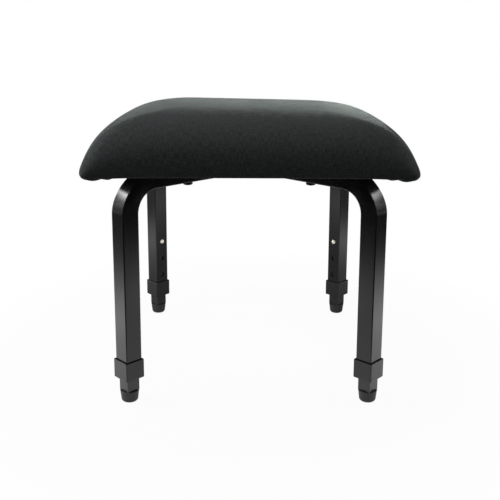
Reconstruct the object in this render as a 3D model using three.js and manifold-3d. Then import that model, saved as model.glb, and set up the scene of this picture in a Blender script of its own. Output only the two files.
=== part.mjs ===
// Musicians stool: a padded square seat on two crossed arches of square tube.
// Each of the four legs has an inner leg that slides out and locks with a snap button.
// Millimetres, +Z up, front towards -Y, origin on the floor below the seat's middle.

import * as THREE from 'three';
import { mergeVertices } from 'three/addons/utils/BufferGeometryUtils.js';
import Module from 'manifold-3d';

const wasm = await Module();
wasm.setup();

// Gaps and cutting
const fitGap = 0.3;
const cutOverrun = 2;
const weldTolerance = 0.0001;

// Frame tubes
const tubeSide = 25.4;
const tubeWall = 1.5;
const tubeCornerRadius = 1.7;
const frameUnderside = 299.4;
const legReach = 231;
const legSplayDegrees = 1.5;
const bendInnerRadius = 32;
const weldLeg = 4;

// Snap holes in each frame leg, counted upwards from the collar
const snapHoleCount = 3;
const snapHolePitch = 32;
const lowestSnapHoleRise = 14;
const snapHoleClearance = 0.5;

// Inner legs
const legPlay = 1.2;
const innerLegWall = 1.5;
const innerLegCornerRadius = 1;
const innerLegShown = 18.9;
const innerLegAboveButton = 28;

// Guide caps on the inner legs' top ends
const guideCapHeight = 6;
const guidePlugLength = 9;

// Collars
const collarWall = 2;
const collarHeight = 27.2;
const collarFloor = 3.5;
const collarCornerRadius = 1.2;

// Rubber feet
const footHeight = 16.7;
const footTopRadius = 13.4;
const footToeRadius = 11.3;
const footEdgeRadius = 5;
const footTrim = 0.4;
const footPlugLength = 18;
const footPlugWall = 3;

// Snap buttons and their V springs
const buttonRadius = 3.85;
const buttonProud = 3.4;
const buttonDomeHeight = 2.4;
const buttonFlangeRim = 1;
const buttonFlangeThickness = 1;
const springThickness = 0.8;
const springWidth = 9;
const springPadReach = 6;
const springDrop = 36;
const springBendRadius = 1.6;

// Seat pad
const seatSide = 424.5;
const seatCornerRadius = 15;
const seatSideDrawIn = 1.5;
const seatEdgeRise = 3.8;
const crownRise = 72;
const crownReach = 176;
const crownBow = 14;
const crownLevelHalf = 12;
const cornerDroop = 58.7;
const cornerSag = 4;
const coverThickness = 1.2;
const edgePadding = 8.7;
const hemWidth = 26;
const hemRollWidth = 8;
const hemRollSag = 1.4;
const foamSkirtRise = 1;
const boardThickness = 12;
const dustCoverThickness = 0.8;
const dustCoverInset = 24;

// Seat bolts, washers and tee nuts
const boltReach = 123;
const boltRadius = 3;
const boltLength = 40;
const boltHeadRadius = 6.25;
const boltHeadHeight = 3.8;
const boltHeadRim = 1.2;
const boltSocketSides = 6;
const boltSocketRadius = 2.3;
const boltSocketDepth = 2;
const washerRadius = 7;
const washerThickness = 1.5;
const teeNutFlangeRadius = 9.5;
const teeNutFlangeThickness = 1.2;
const teeNutBarrelWall = 0.7;
const teeNutBarrelLength = 9;

// How finely round shapes are stepped
const bendSteps = 12;
const sectionCornerSteps = 1;
const roundSteps = 24;
const holeSteps = 16;
const smallBendSteps = 4;
const outlineCornerSteps = 3;
const outlineSideSteps = 7;

// The crown's curve: its powers, and where its rings lie as shares of the crown's reach
const crownPower = 3.857;
const flatPower = 2.495;
const bowPower = 2;
const droopPower = 6.87;
const sagPower = 8;
const crownRingShares = [0.0015, 0.012, 0.05, 0.13, 0.27, 0.45, 0.63, 0.82];
const middleRingShares = [0.55, 1];
const rollRingShares = [0.4, 0.75, 1];

// Heights and widths that follow from the sizes above
const splay = THREE.MathUtils.degToRad(legSplayDegrees);
const frameTop = frameUnderside + tubeSide;
const dustCoverUnderside = frameTop + fitGap;
const hemUnderside = dustCoverUnderside + dustCoverThickness + fitGap;
const boardUnderside = hemUnderside + coverThickness + fitGap;
const boardTop = boardUnderside + boardThickness;
const boardHalf = seatSide / 2 - edgePadding;
const seatEdgeHeight = boardUnderside + seatEdgeRise;
const rollHeight = seatEdgeHeight - hemUnderside + hemRollSag;
const innerLegSide = tubeSide - 2 * tubeWall - 2 * legPlay;
const innerLegBottom = footHeight + fitGap;
const collarBottom = innerLegBottom + innerLegShown;
const collarTop = collarBottom + collarHeight;
const frameLegEnd = collarBottom + collarFloor + fitGap;
const lowestSnapHole = collarTop + lowestSnapHoleRise;
const buttonHeight = lowestSnapHole + (snapHoleCount - 1) * snapHolePitch;
const innerLegTop = buttonHeight + innerLegAboveButton;
const legFootReach = legReach + frameUnderside * Math.tan(splay);

const legs = [
  { name: 'fl', turn: -0.75 * Math.PI },
  { name: 'fr', turn: -0.25 * Math.PI },
  { name: 'rl', turn: 0.75 * Math.PI },
  { name: 'rr', turn: 0.25 * Math.PI },
];

const finishes = {
  fabric: { color: 0x232627, roughness: 0.95, metalness: 0 },
  foam: { color: 0xd9cfa8, roughness: 0.95, metalness: 0 },
  plywood: { color: 0xb58f5e, roughness: 0.75, metalness: 0 },
  dustCloth: { color: 0x161616, roughness: 0.95, metalness: 0 },
  blackSteel: { color: 0x2b2a2a, roughness: 0.42, metalness: 0.35 },
  blackPlastic: { color: 0x303030, roughness: 0.5, metalness: 0 },
  rubber: { color: 0x272827, roughness: 0.8, metalness: 0 },
  nickel: { color: 0xcfc6ae, roughness: 0.28, metalness: 1 },
  springSteel: { color: 0x8b8d90, roughness: 0.4, metalness: 1 },
  zinc: { color: 0xb4b6b8, roughness: 0.4, metalness: 0.9 },
};

// Shape helpers

function piece(name, geometry, finish) {
  const mesh = new THREE.Mesh(geometry, new THREE.MeshStandardMaterial(finishes[finish]));
  mesh.name = name;
  return mesh;
}

// A path that is stepped at chosen stations, each with its own tangent.
class StationPath extends THREE.Curve {
  constructor(stations) {
    super();
    this.stations = stations;
  }

  at(t) {
    return this.stations[Math.round(t * (this.stations.length - 1))];
  }

  getPointAt(t) {
    return this.at(t).point.clone();
  }

  getTangentAt(t) {
    return this.at(t).tangent.clone().normalize();
  }
}

function station(x, z, tangentX, tangentZ) {
  return { point: new THREE.Vector3(x, 0, z), tangent: new THREE.Vector3(tangentX, 0, tangentZ) };
}

function swept(section, stations) {
  return new THREE.ExtrudeGeometry(section, {
    steps: stations.length - 1,
    curveSegments: sectionCornerSteps,
    extrudePath: new StationPath(stations),
  });
}

function extruded(shape, bottom, height, curveSegments = sectionCornerSteps) {
  const geometry = new THREE.ExtrudeGeometry(shape, { depth: height, curveSegments, bevelEnabled: false });
  return geometry.translate(0, 0, bottom);
}

function squareOutline(side, radius, Kind = THREE.Shape) {
  const corner = side / 2 - radius;
  const outline = new Kind();
  outline.absarc(corner, corner, radius, 0, 0.5 * Math.PI);
  outline.absarc(-corner, corner, radius, 0.5 * Math.PI, Math.PI);
  outline.absarc(-corner, -corner, radius, Math.PI, 1.5 * Math.PI);
  outline.absarc(corner, -corner, radius, 1.5 * Math.PI, 2 * Math.PI);
  outline.closePath();
  return outline;
}

function plainSquare(side, Kind = THREE.Path) {
  const half = side / 2;
  const corners = [[half, half], [-half, half], [-half, -half], [half, -half]];
  return new Kind(corners.map(([x, y]) => new THREE.Vector2(x, y)));
}

function hollowSquare(side, radius, innerSide) {
  const section = squareOutline(side, radius);
  section.holes.push(plainSquare(innerSide));
  return section;
}

function turned(profile, steps = roundSteps) {
  const points = profile.map(([radius, height]) => new THREE.Vector2(radius, height));
  return new THREE.LatheGeometry(points, steps).rotateX(0.5 * Math.PI);
}

function ringOf(innerRadius, outerRadius, bottom, top) {
  return turned([
    [innerRadius, bottom],
    [outerRadius, bottom],
    [outerRadius, top],
    [innerRadius, top],
    [innerRadius, bottom],
  ]);
}

function rod(radius, bottom, top, steps = holeSteps) {
  const geometry = new THREE.CylinderGeometry(radius, radius, top - bottom, steps);
  return geometry.rotateX(0.5 * Math.PI).translate(0, 0, (bottom + top) / 2);
}

// Points of a quarter ellipse from its widest point to its end, the first one left out.
function quarterArc(centreRadius, centreHeight, radius, height, steps) {
  return Array.from({ length: steps }, (_, index) => {
    const angle = (0.5 * Math.PI * (index + 1)) / steps;
    return [centreRadius + radius * Math.cos(angle), centreHeight + height * Math.sin(angle)];
  });
}

// Joining and cutting of closed solids

function asSolid(geometry) {
  const bare = geometry.clone();
  bare.deleteAttribute('normal');
  bare.deleteAttribute('uv');
  const merged = mergeVertices(bare, weldTolerance);
  const corners = merged.index.array;
  const kept = [];
  for (let i = 0; i < corners.length; i += 3) {
    const [a, b, c] = corners.slice(i, i + 3);
    if (a !== b && b !== c && c !== a) kept.push(a, b, c);
  }
  return new wasm.Manifold(
    new wasm.Mesh({
      numProp: 3,
      vertProperties: Float32Array.from(merged.attributes.position.array),
      triVerts: Uint32Array.from(kept),
    }),
  );
}

function asGeometry(solid) {
  const mesh = solid.getMesh();
  const geometry = new THREE.BufferGeometry();
  geometry.setAttribute('position', new THREE.BufferAttribute(mesh.vertProperties, 3));
  geometry.setIndex(new THREE.BufferAttribute(mesh.triVerts, 1));
  geometry.computeVertexNormals();
  return geometry;
}

function cut(geometry, cutters) {
  return asGeometry(cutters.reduce((solid, cutter) => solid.subtract(asSolid(cutter)), asSolid(geometry)));
}

function joined(...geometries) {
  return asGeometry(geometries.map(asSolid).reduce((sum, solid) => sum.add(solid)));
}

// Frame: the arch's centreline lies in the XZ plane, with X outwards along a diagonal of the seat

function legStations() {
  const bendRadius = bendInnerRadius + tubeSide / 2;
  const centreHeight = frameUnderside + tubeSide / 2 - bendRadius;
  const axisOffset = legFootReach * Math.cos(splay);
  const centreReach = (axisOffset - bendRadius - centreHeight * Math.sin(splay)) / Math.cos(splay);
  const turn = 0.5 * Math.PI - splay;
  const stations = [];
  for (let step = 0; step <= bendSteps; step += 1) {
    const angle = (turn * step) / bendSteps;
    const x = centreReach + bendRadius * Math.sin(angle);
    const z = centreHeight + bendRadius * Math.cos(angle);
    stations.push(station(x, z, Math.cos(angle), -Math.sin(angle)));
  }
  const endX = legFootReach - frameLegEnd * Math.sin(splay);
  const endZ = frameLegEnd * Math.cos(splay);
  stations.push(station(endX, endZ, Math.sin(splay), -Math.cos(splay)));
  return stations;
}

function mirrored(stations) {
  const flipped = stations.map(({ point, tangent }) => station(-point.x, point.z, tangent.x, -tangent.z));
  return flipped.reverse();
}

const legTilt = new THREE.Matrix4()
  .makeTranslation(legFootReach, 0, 0)
  .multiply(new THREE.Matrix4().makeRotationY(-splay));

function snapHoles() {
  const radius = buttonRadius + snapHoleClearance;
  const outside = tubeSide / 2 + cutOverrun;
  const inside = tubeSide / 2 - tubeWall - cutOverrun;
  return Array.from({ length: snapHoleCount }, (_, index) => {
    const height = lowestSnapHole + index * snapHolePitch;
    const hole = rod(radius, inside, outside).rotateY(-0.5 * Math.PI);
    return hole.translate(0, 0, height).applyMatrix4(legTilt);
  });
}

function boltHole(reach) {
  const bottom = frameUnderside - cutOverrun;
  return rod(boltRadius + fitGap, bottom, frameTop + cutOverrun).translate(reach, 0, 0);
}

const tubeSection = hollowSquare(tubeSide, tubeCornerRadius, tubeSide - 2 * tubeWall);

function longTube() {
  const half = legStations();
  const geometry = swept(tubeSection, [...mirrored(half), ...half]);
  const ownHoles = [...snapHoles(), boltHole(boltReach)];
  const farHoles = ownHoles.map((hole) => hole.clone().rotateZ(Math.PI));
  return cut(geometry, [...ownHoles, ...farHoles]);
}

function halfTube() {
  const start = station(tubeSide / 2 + fitGap, frameUnderside + tubeSide / 2, 1, 0);
  return cut(swept(tubeSection, [start, ...legStations()]), [...snapHoles(), boltHole(boltReach)]);
}

// A fillet weld down both sides of a half tube and across its underside, against the long tube.
function weldBead() {
  const offset = tubeSide / 2 + fitGap;
  const corner = tubeCornerRadius + fitGap;
  const middle = frameUnderside + tubeSide / 2;
  const straight = offset - corner;
  const section = new THREE.Shape([
    new THREE.Vector2(0, 0),
    new THREE.Vector2(weldLeg, 0),
    new THREE.Vector2(0, -weldLeg),
  ]);
  const stations = [station(offset, offset - fitGap, 0, -1)];
  for (const side of [1, -1]) {
    for (let step = 0; step <= smallBendSteps; step += 1) {
      const share = step / smallBendSteps;
      const angle = 0.5 * Math.PI * (side > 0 ? share : 1 + share);
      const x = side * straight + corner * Math.cos(angle);
      const z = -straight - corner * Math.sin(angle);
      stations.push(station(x, z, -Math.sin(angle), -Math.cos(angle)));
    }
  }
  stations.push(station(-offset, offset - fitGap, 0, 1));
  const bead = swept(section, stations);
  return bead.rotateZ(0.5 * Math.PI).translate(tubeSide / 2 + fitGap, 0, middle);
}

// Legs: each is made upright about the Z axis, with the stool's middle towards -X

function collar() {
  const side = tubeSide + 2 * fitGap + 2 * collarWall;
  const bore = innerLegSide + 2 * fitGap;
  const body = extruded(hollowSquare(side, collarCornerRadius, bore), collarBottom, collarHeight);
  const pocket = new THREE.Shape(plainSquare(tubeSide + 2 * fitGap).getPoints());
  pocket.holes.push(plainSquare(tubeSide - 2 * tubeWall - 2 * fitGap));
  return cut(body, [extruded(pocket, collarBottom + collarFloor, collarHeight)]);
}

function innerLeg() {
  const section = hollowSquare(innerLegSide, innerLegCornerRadius, innerLegSide - 2 * innerLegWall);
  const body = extruded(section, innerLegBottom, innerLegTop - innerLegBottom);
  const inside = innerLegSide / 2 - innerLegWall - cutOverrun;
  const hole = rod(buttonRadius + fitGap, inside, innerLegSide / 2 + cutOverrun).rotateY(-0.5 * Math.PI);
  return cut(body, [hole.translate(0, 0, buttonHeight)]);
}

function guideCap() {
  const capSide = tubeSide - 2 * tubeWall - 2 * fitGap;
  const plugSide = innerLegSide - 2 * innerLegWall - 2 * fitGap;
  const cap = extruded(plainSquare(capSide, THREE.Shape), innerLegTop + fitGap, guideCapHeight);
  const plugBottom = innerLegTop - guidePlugLength;
  const plug = extruded(plainSquare(plugSide, THREE.Shape), plugBottom, guidePlugLength + 2 * fitGap);
  return joined(cap, plug);
}

// The sole starts a little under the floor and is cut level, because the leg leans.
function rubberFoot() {
  const toe = footToeRadius - footEdgeRadius;
  const edgeHeight = footEdgeRadius - footTrim;
  const sole = quarterArc(toe, edgeHeight, footEdgeRadius, -footEdgeRadius, smallBendSteps);
  const side = [[0, footHeight], [footTopRadius, footHeight], [footToeRadius, edgeHeight]];
  const profile = [...side, ...sole, [0, -footTrim]];
  const plugSide = innerLegSide - 2 * innerLegWall - 2 * fitGap;
  const section = hollowSquare(plugSide, innerLegCornerRadius, plugSide - 2 * footPlugWall);
  const plug = extruded(section, footHeight - footPlugWall, footPlugLength + footPlugWall);
  const width = 4 * footTopRadius;
  const floor = new THREE.BoxGeometry(width, width, footHeight).translate(0, 0, -footHeight / 2);
  return cut(joined(turned(profile.reverse()), plug), [floor.rotateY(splay)]);
}

function snapButton() {
  const flangeOuter = innerLegSide / 2 - innerLegWall - fitGap;
  const flangeInner = flangeOuter - buttonFlangeThickness;
  const domeStart = tubeSide / 2 + buttonProud - buttonDomeHeight;
  const rim = buttonRadius + buttonFlangeRim;
  const dome = quarterArc(0, domeStart, buttonRadius, buttonDomeHeight, smallBendSteps);
  const profile = [
    [0, flangeInner],
    [rim, flangeInner],
    [rim, flangeOuter],
    [buttonRadius, flangeOuter],
    [buttonRadius, domeStart],
    ...dome,
  ];
  return turned(profile, holeSteps).rotateY(-0.5 * Math.PI).translate(0, 0, buttonHeight);
}

// A strip bent to a narrow V: one arm backs the button, the other bears on the far wall.
function snapSpring() {
  const wallFace = innerLegSide / 2 - innerLegWall - fitGap;
  const padX = -(wallFace - buttonFlangeThickness - fitGap - springThickness / 2);
  const farX = wallFace - springThickness / 2;
  const padTop = buttonHeight + springPadReach;
  const padBottom = buttonHeight - springPadReach;
  const bendZ = buttonHeight - springDrop;
  const nearLean = Math.atan2(-springBendRadius - padX, padBottom - bendZ);
  const stations = [
    station(padX, padTop, 0, -1),
    station(padX, padBottom, Math.sin(nearLean / 2), -Math.cos(nearLean / 2)),
  ];
  for (let step = 0; step <= 2 * smallBendSteps; step += 1) {
    const angle = Math.PI * (1 + step / (2 * smallBendSteps));
    const x = springBendRadius * Math.cos(angle);
    const z = bendZ + springBendRadius * Math.sin(angle);
    stations.push(station(x, z, -Math.sin(angle), Math.cos(angle)));
  }
  const farLean = Math.atan2(farX - springBendRadius, padTop - bendZ);
  stations.push(station(farX, padTop, Math.sin(farLean), Math.cos(farLean)));
  const across = springWidth / 2;
  const through = springThickness / 2;
  const section = new THREE.Shape([
    new THREE.Vector2(across, through),
    new THREE.Vector2(-across, through),
    new THREE.Vector2(-across, -through),
    new THREE.Vector2(across, -through),
  ]);
  return swept(section, stations);
}

// Seat

// A square with round corners whose sides are drawn in between them, in even steps.
function seatOutline(half, radius, drawIn = 0) {
  const straight = half - radius;
  const points = [];
  for (let quarter = 0; quarter < 4; quarter += 1) {
    const turn = new THREE.Vector2();
    const spin = quarter * 0.5 * Math.PI;
    for (let step = 0; step < outlineSideSteps; step += 1) {
      const along = (2 * step) / outlineSideSteps - 1;
      const out = half - drawIn * (1 - along * along);
      points.push(new THREE.Vector2(out, along * straight).rotateAround(turn, spin));
    }
    for (let step = 0; step < outlineCornerSteps; step += 1) {
      const angle = (0.5 * Math.PI * step) / outlineCornerSteps;
      const x = straight + radius * Math.cos(angle);
      points.push(new THREE.Vector2(x, straight + radius * Math.sin(angle)).rotateAround(turn, spin));
    }
  }
  return points;
}

// How near a point is to the outline's corners: 0 on the middle lines and 1 at a corner.
function cornerness(x, y, half) {
  return (Math.abs(x) * Math.abs(y)) / (half * half);
}

// The padded surface that lies depth inside the cover's face, as rings from its middle outwards.
function crownRings(depth) {
  const half = seatSide / 2 - depth;
  const reach = crownReach - depth;
  const rise = crownRise - depth;
  const outline = seatOutline(half, seatCornerRadius - depth, seatSideDrawIn);
  const bowAt = (y) => {
    const away = Math.max(Math.abs(y) - crownLevelHalf, 0) / (half - crownLevelHalf);
    return crownBow * away ** bowPower;
  };
  const ringAt = (inset) => {
    const lift = (1 - (1 - Math.min(inset / reach, 1)) ** crownPower) ** (1 / flatPower);
    return outline.map((point) => {
      const x = point.x * (1 - inset / half);
      const y = point.y * (1 - inset / half);
      const droop = cornerDroop * cornerness(x, y, half) ** droopPower;
      const sag = cornerSag * cornerness(x, y, half) ** sagPower * (1 - lift);
      return new THREE.Vector3(x, y, seatEdgeHeight + lift * (rise - droop - bowAt(y)) - sag);
    });
  };
  const middle = middleRingShares.map((share) => ringAt(half - (half - reach) * share));
  const edge = [...crownRingShares].reverse().map((share) => ringAt(reach * share));
  return [...middle, ...edge, ringAt(0)];
}

// The edge's roll under the board, from the widest line inwards and down.
function rollRings(depth, shares) {
  const half = seatSide / 2 - depth;
  const outline = seatOutline(half, seatCornerRadius - depth, seatSideDrawIn);
  const width = edgePadding - depth;
  const height = rollHeight - depth;
  return shares.map((share) => {
    const angle = 0.5 * Math.PI * share;
    const shrink = 1 - (width * (1 - Math.cos(angle))) / half;
    return outline.map((point) => {
      const sag = cornerSag * cornerness(point.x, point.y, half) ** sagPower;
      const z = seatEdgeHeight - height * Math.sin(angle) - sag;
      return new THREE.Vector3(point.x * shrink, point.y * shrink, z);
    });
  });
}

function flatRing(half, radius, z) {
  return seatOutline(half, radius).map((point) => new THREE.Vector3(point.x, point.y, z));
}

// A closed skin over rings that run from one middle point to another. The rings from innerStart on
// run back inside the others, and their faces are split the other way, so both skins stay alike.
function lofted(firstPole, rings, lastPole, innerStart = rings.length) {
  const count = rings[0].length;
  const points = [firstPole, ...rings.flat(), lastPole];
  const last = points.length - 1;
  const faces = [];
  for (let i = 0; i < count; i += 1) {
    const next = (i + 1) % count;
    faces.push(0, 1 + i, 1 + next);
    for (let ring = 0; ring + 1 < rings.length; ring += 1) {
      const upper = 1 + ring * count;
      const lower = upper + count;
      const [a, b, c, d] = [upper + i, lower + i, lower + next, upper + next];
      faces.push(...(ring < innerStart ? [a, b, c, a, c, d] : [a, b, d, b, c, d]));
    }
    const end = 1 + (rings.length - 1) * count;
    faces.push(last, end + next, end + i);
  }
  const geometry = new THREE.BufferGeometry().setFromPoints(points);
  geometry.setIndex(faces);
  geometry.computeVertexNormals();
  return geometry;
}

function seatCover() {
  const rollRadius = seatCornerRadius - edgePadding;
  const hemHalf = boardHalf - hemWidth;
  const outside = [...crownRings(0), ...rollRings(0, rollRingShares)];
  const inside = [...crownRings(coverThickness), ...rollRings(coverThickness, rollRingShares)];
  const hem = (z) => [flatRing(boardHalf - hemRollWidth, rollRadius, z), flatRing(hemHalf, rollRadius, z)];
  const hemTop = hem(hemUnderside + coverThickness).reverse();
  const rings = [...outside, ...hem(hemUnderside), ...hemTop, ...inside.reverse()];
  const top = new THREE.Vector3(0, 0, seatEdgeHeight + crownRise);
  const innerTop = new THREE.Vector3(0, 0, top.z - coverThickness);
  return lofted(top, rings, innerTop, rings.length - inside.length);
}

function seatFoam() {
  const depth = coverThickness + fitGap;
  const skirtDrop = seatEdgeHeight - boardUnderside - foamSkirtRise;
  const skirtShare = Math.asin(skirtDrop / (rollHeight - depth)) / (0.5 * Math.PI);
  const innerHalf = boardHalf + fitGap;
  const innerRadius = seatCornerRadius - edgePadding + fitGap;
  const rings = [
    ...crownRings(depth),
    ...rollRings(depth, [skirtShare]),
    flatRing(innerHalf, innerRadius, boardUnderside + foamSkirtRise),
    flatRing(innerHalf, innerRadius, boardTop + fitGap),
  ];
  const top = new THREE.Vector3(0, 0, seatEdgeHeight + crownRise - depth);
  return lofted(top, rings, new THREE.Vector3(0, 0, boardTop + fitGap));
}

function eachBoltPlace(make) {
  return legs.map(({ turn }) => make().translate(boltReach, 0, 0).rotateZ(turn));
}

function seatBoard() {
  const outline = new THREE.Shape(seatOutline(boardHalf, seatCornerRadius - edgePadding));
  const barrelHole = boltRadius + fitGap + teeNutBarrelWall + fitGap;
  const flangeSeat = boardTop - teeNutFlangeThickness - fitGap;
  const holes = eachBoltPlace(() => rod(barrelHole, boardUnderside - cutOverrun, boardTop + cutOverrun));
  const seats = eachBoltPlace(() => rod(teeNutFlangeRadius + fitGap, flangeSeat, boardTop + cutOverrun));
  return cut(extruded(outline, boardUnderside, boardThickness), [...holes, ...seats]);
}

function dustCover() {
  const outline = new THREE.Shape(seatOutline(boardHalf - dustCoverInset + hemRollWidth, tubeCornerRadius));
  const sheet = extruded(outline, dustCoverUnderside, dustCoverThickness);
  const bottom = dustCoverUnderside - cutOverrun;
  return cut(sheet, eachBoltPlace(() => rod(boltRadius + fitGap, bottom, boardUnderside)));
}

function seatBolt() {
  const headTop = frameUnderside - 2 * fitGap - washerThickness;
  const rimBottom = headTop - boltHeadRim;
  const dome = quarterArc(0, rimBottom, boltHeadRadius, -(boltHeadHeight - boltHeadRim), smallBendSteps);
  const profile = [
    [0, headTop + boltLength],
    [boltRadius, headTop + boltLength],
    [boltRadius, headTop],
    [boltHeadRadius, headTop],
    [boltHeadRadius, rimBottom],
    ...dome,
  ];
  const socketBottom = headTop - boltHeadHeight;
  const socketTop = socketBottom + boltSocketDepth;
  const socket = rod(boltSocketRadius, socketBottom - cutOverrun, socketTop, boltSocketSides);
  return cut(turned(profile.reverse(), holeSteps), [socket]);
}

function seatWasher() {
  const top = frameUnderside - fitGap;
  return ringOf(boltRadius + fitGap, washerRadius, top - washerThickness, top);
}

function teeNut() {
  const bore = boltRadius + fitGap;
  const flangeBottom = boardTop - teeNutFlangeThickness;
  return turned([
    [bore, boardTop - teeNutBarrelLength],
    [bore + teeNutBarrelWall, boardTop - teeNutBarrelLength],
    [bore + teeNutBarrelWall, flangeBottom],
    [teeNutFlangeRadius, flangeBottom],
    [teeNutFlangeRadius, boardTop],
    [bore, boardTop],
    [bore, boardTop - teeNutBarrelLength],
  ]);
}

// Assembly

function frameGroup() {
  const group = new THREE.Group();
  const turns = { long: 0.25 * Math.PI, frontRight: -0.25 * Math.PI, rearLeft: 0.75 * Math.PI };
  const place = (mesh, turn) => {
    mesh.rotation.z = turn;
    group.add(mesh);
  };
  place(piece('frame_tube_long', longTube(), 'blackSteel'), turns.long);
  place(piece('frame_tube_front_right', halfTube(), 'blackSteel'), turns.frontRight);
  place(piece('frame_tube_rear_left', halfTube(), 'blackSteel'), turns.rearLeft);
  place(piece('weld_bead_front_right', weldBead(), 'blackSteel'), turns.frontRight);
  place(piece('weld_bead_rear_left', weldBead(), 'blackSteel'), turns.rearLeft);
  return group;
}

function legGroup({ name, turn }) {
  const upright = new THREE.Group();
  upright.position.x = legFootReach;
  upright.rotation.y = -splay;
  upright.add(piece(`leg_collar_${name}`, collar(), 'blackPlastic'));
  upright.add(piece(`inner_leg_${name}`, innerLeg(), 'blackSteel'));
  upright.add(piece(`inner_leg_guide_${name}`, guideCap(), 'blackPlastic'));
  upright.add(piece(`rubber_foot_${name}`, rubberFoot(), 'rubber'));
  upright.add(piece(`snap_button_${name}`, snapButton(), 'nickel'));
  upright.add(piece(`snap_spring_${name}`, snapSpring(), 'springSteel'));
  const spoke = new THREE.Group();
  spoke.rotation.z = turn;
  spoke.add(upright);
  return spoke;
}

function boltGroup({ name, turn }) {
  const stack = new THREE.Group();
  stack.position.x = boltReach;
  stack.add(piece(`seat_bolt_${name}`, seatBolt(), 'blackSteel'));
  stack.add(piece(`seat_washer_${name}`, seatWasher(), 'blackSteel'));
  stack.add(piece(`tee_nut_${name}`, teeNut(), 'zinc'));
  const spoke = new THREE.Group();
  spoke.rotation.z = turn;
  spoke.add(stack);
  return spoke;
}

const stool = new THREE.Group();
stool.add(piece('seat_cover', seatCover(), 'fabric'));
stool.add(piece('seat_foam', seatFoam(), 'foam'));
stool.add(piece('seat_board', seatBoard(), 'plywood'));
stool.add(piece('dust_cover', dustCover(), 'dustCloth'));
stool.add(frameGroup());
for (const leg of legs) stool.add(legGroup(leg), boltGroup(leg));

export default stool;
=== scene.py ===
"""Looks of the musicians stool: a stretched cloth seat, two crossed bent tubes and four sliding legs.

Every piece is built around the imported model, in metres, with +Z up and the front towards -Y.
"""

from __future__ import annotations

import logging
import math
from dataclasses import dataclass, field
from enum import Enum
from itertools import product
from typing import ClassVar, Optional, Sequence, Union

import bmesh
import bpy
import numpy as np
from mathutils import Matrix, Vector


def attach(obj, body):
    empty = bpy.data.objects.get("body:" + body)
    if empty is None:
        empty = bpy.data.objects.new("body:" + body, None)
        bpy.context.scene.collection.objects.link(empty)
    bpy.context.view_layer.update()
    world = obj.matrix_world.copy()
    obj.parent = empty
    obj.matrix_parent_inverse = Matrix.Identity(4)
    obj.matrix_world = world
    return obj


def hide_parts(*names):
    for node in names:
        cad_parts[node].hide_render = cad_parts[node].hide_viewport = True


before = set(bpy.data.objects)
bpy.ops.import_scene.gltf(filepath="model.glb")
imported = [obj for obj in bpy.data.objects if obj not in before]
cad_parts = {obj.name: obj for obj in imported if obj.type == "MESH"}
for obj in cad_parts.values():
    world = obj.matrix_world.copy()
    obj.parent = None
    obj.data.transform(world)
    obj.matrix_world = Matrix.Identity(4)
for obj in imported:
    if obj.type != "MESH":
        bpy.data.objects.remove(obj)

LOG = logging.getLogger("stool")
MM = 0.001
GAP = 0.3 * MM
PHOTO_PIXELS = 500
SENSOR_WIDTH = 36.0
QUARTER_TURN = 0.5 * math.pi
WELD_DISTANCE = 1e-6
LEAST = 1e-9
FILLET_SHARE = 0.49
CLOTH_PLACE = "cloth_place"

RampStop = tuple[float, float]
Point = tuple[float, float, float]
Colour = tuple[float, float, float]
Inputs = dict[Union[int, str], "Term"]


class Corner(Enum):
    """The four corners of the stool, each with its short name and the turn of its diagonal."""

    FRONT_LEFT = ("fl", -0.75 * math.pi)
    FRONT_RIGHT = ("fr", -0.25 * math.pi)
    REAR_LEFT = ("rl", 0.75 * math.pi)
    REAR_RIGHT = ("rr", 0.25 * math.pi)

    @property
    def key(self) -> str:
        """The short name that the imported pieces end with."""
        return self.value[0]

    @property
    def turn(self) -> float:
        """The angle of the corner's diagonal about the stool's middle."""
        return self.value[1]


class Section(Enum):
    """The outlines that a ring of points can follow."""

    ROUND = "round"
    SQUARE = "square"
    HEXAGON = "hexagon"


# Shader maths


class Wire:
    """An output socket that takes part in sums; each sum on values adds a Math node."""

    def __init__(self, graph: Graph, socket: bpy.types.NodeSocket) -> None:
        """Keeps the socket and the graph that it belongs to."""
        self.graph = graph
        self.socket = socket

    def maths(self, operation: str, *terms: Term) -> Wire:
        """Adds one Math node that works on the terms."""
        return self.graph.node("ShaderNodeMath", {"operation": operation}, dict(enumerate(terms)))

    def __add__(self, other: Term) -> Wire:
        """This value plus another."""
        return self.maths("ADD", self, other)

    def __radd__(self, other: Term) -> Wire:
        """Another value plus this one."""
        return self.maths("ADD", other, self)

    def __sub__(self, other: Term) -> Wire:
        """This value minus another."""
        return self.maths("SUBTRACT", self, other)

    def __rsub__(self, other: Term) -> Wire:
        """Another value minus this one."""
        return self.maths("SUBTRACT", other, self)

    def __mul__(self, other: Term) -> Wire:
        """This value times another."""
        return self.maths("MULTIPLY", self, other)

    def __rmul__(self, other: Term) -> Wire:
        """Another value times this one."""
        return self.maths("MULTIPLY", other, self)

    def __truediv__(self, other: Term) -> Wire:
        """This value divided by another."""
        return self.maths("DIVIDE", self, other)

    def __rtruediv__(self, other: Term) -> Wire:
        """Another value divided by this one."""
        return self.maths("DIVIDE", other, self)


Term = Union[float, Sequence[float], Wire]


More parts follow.
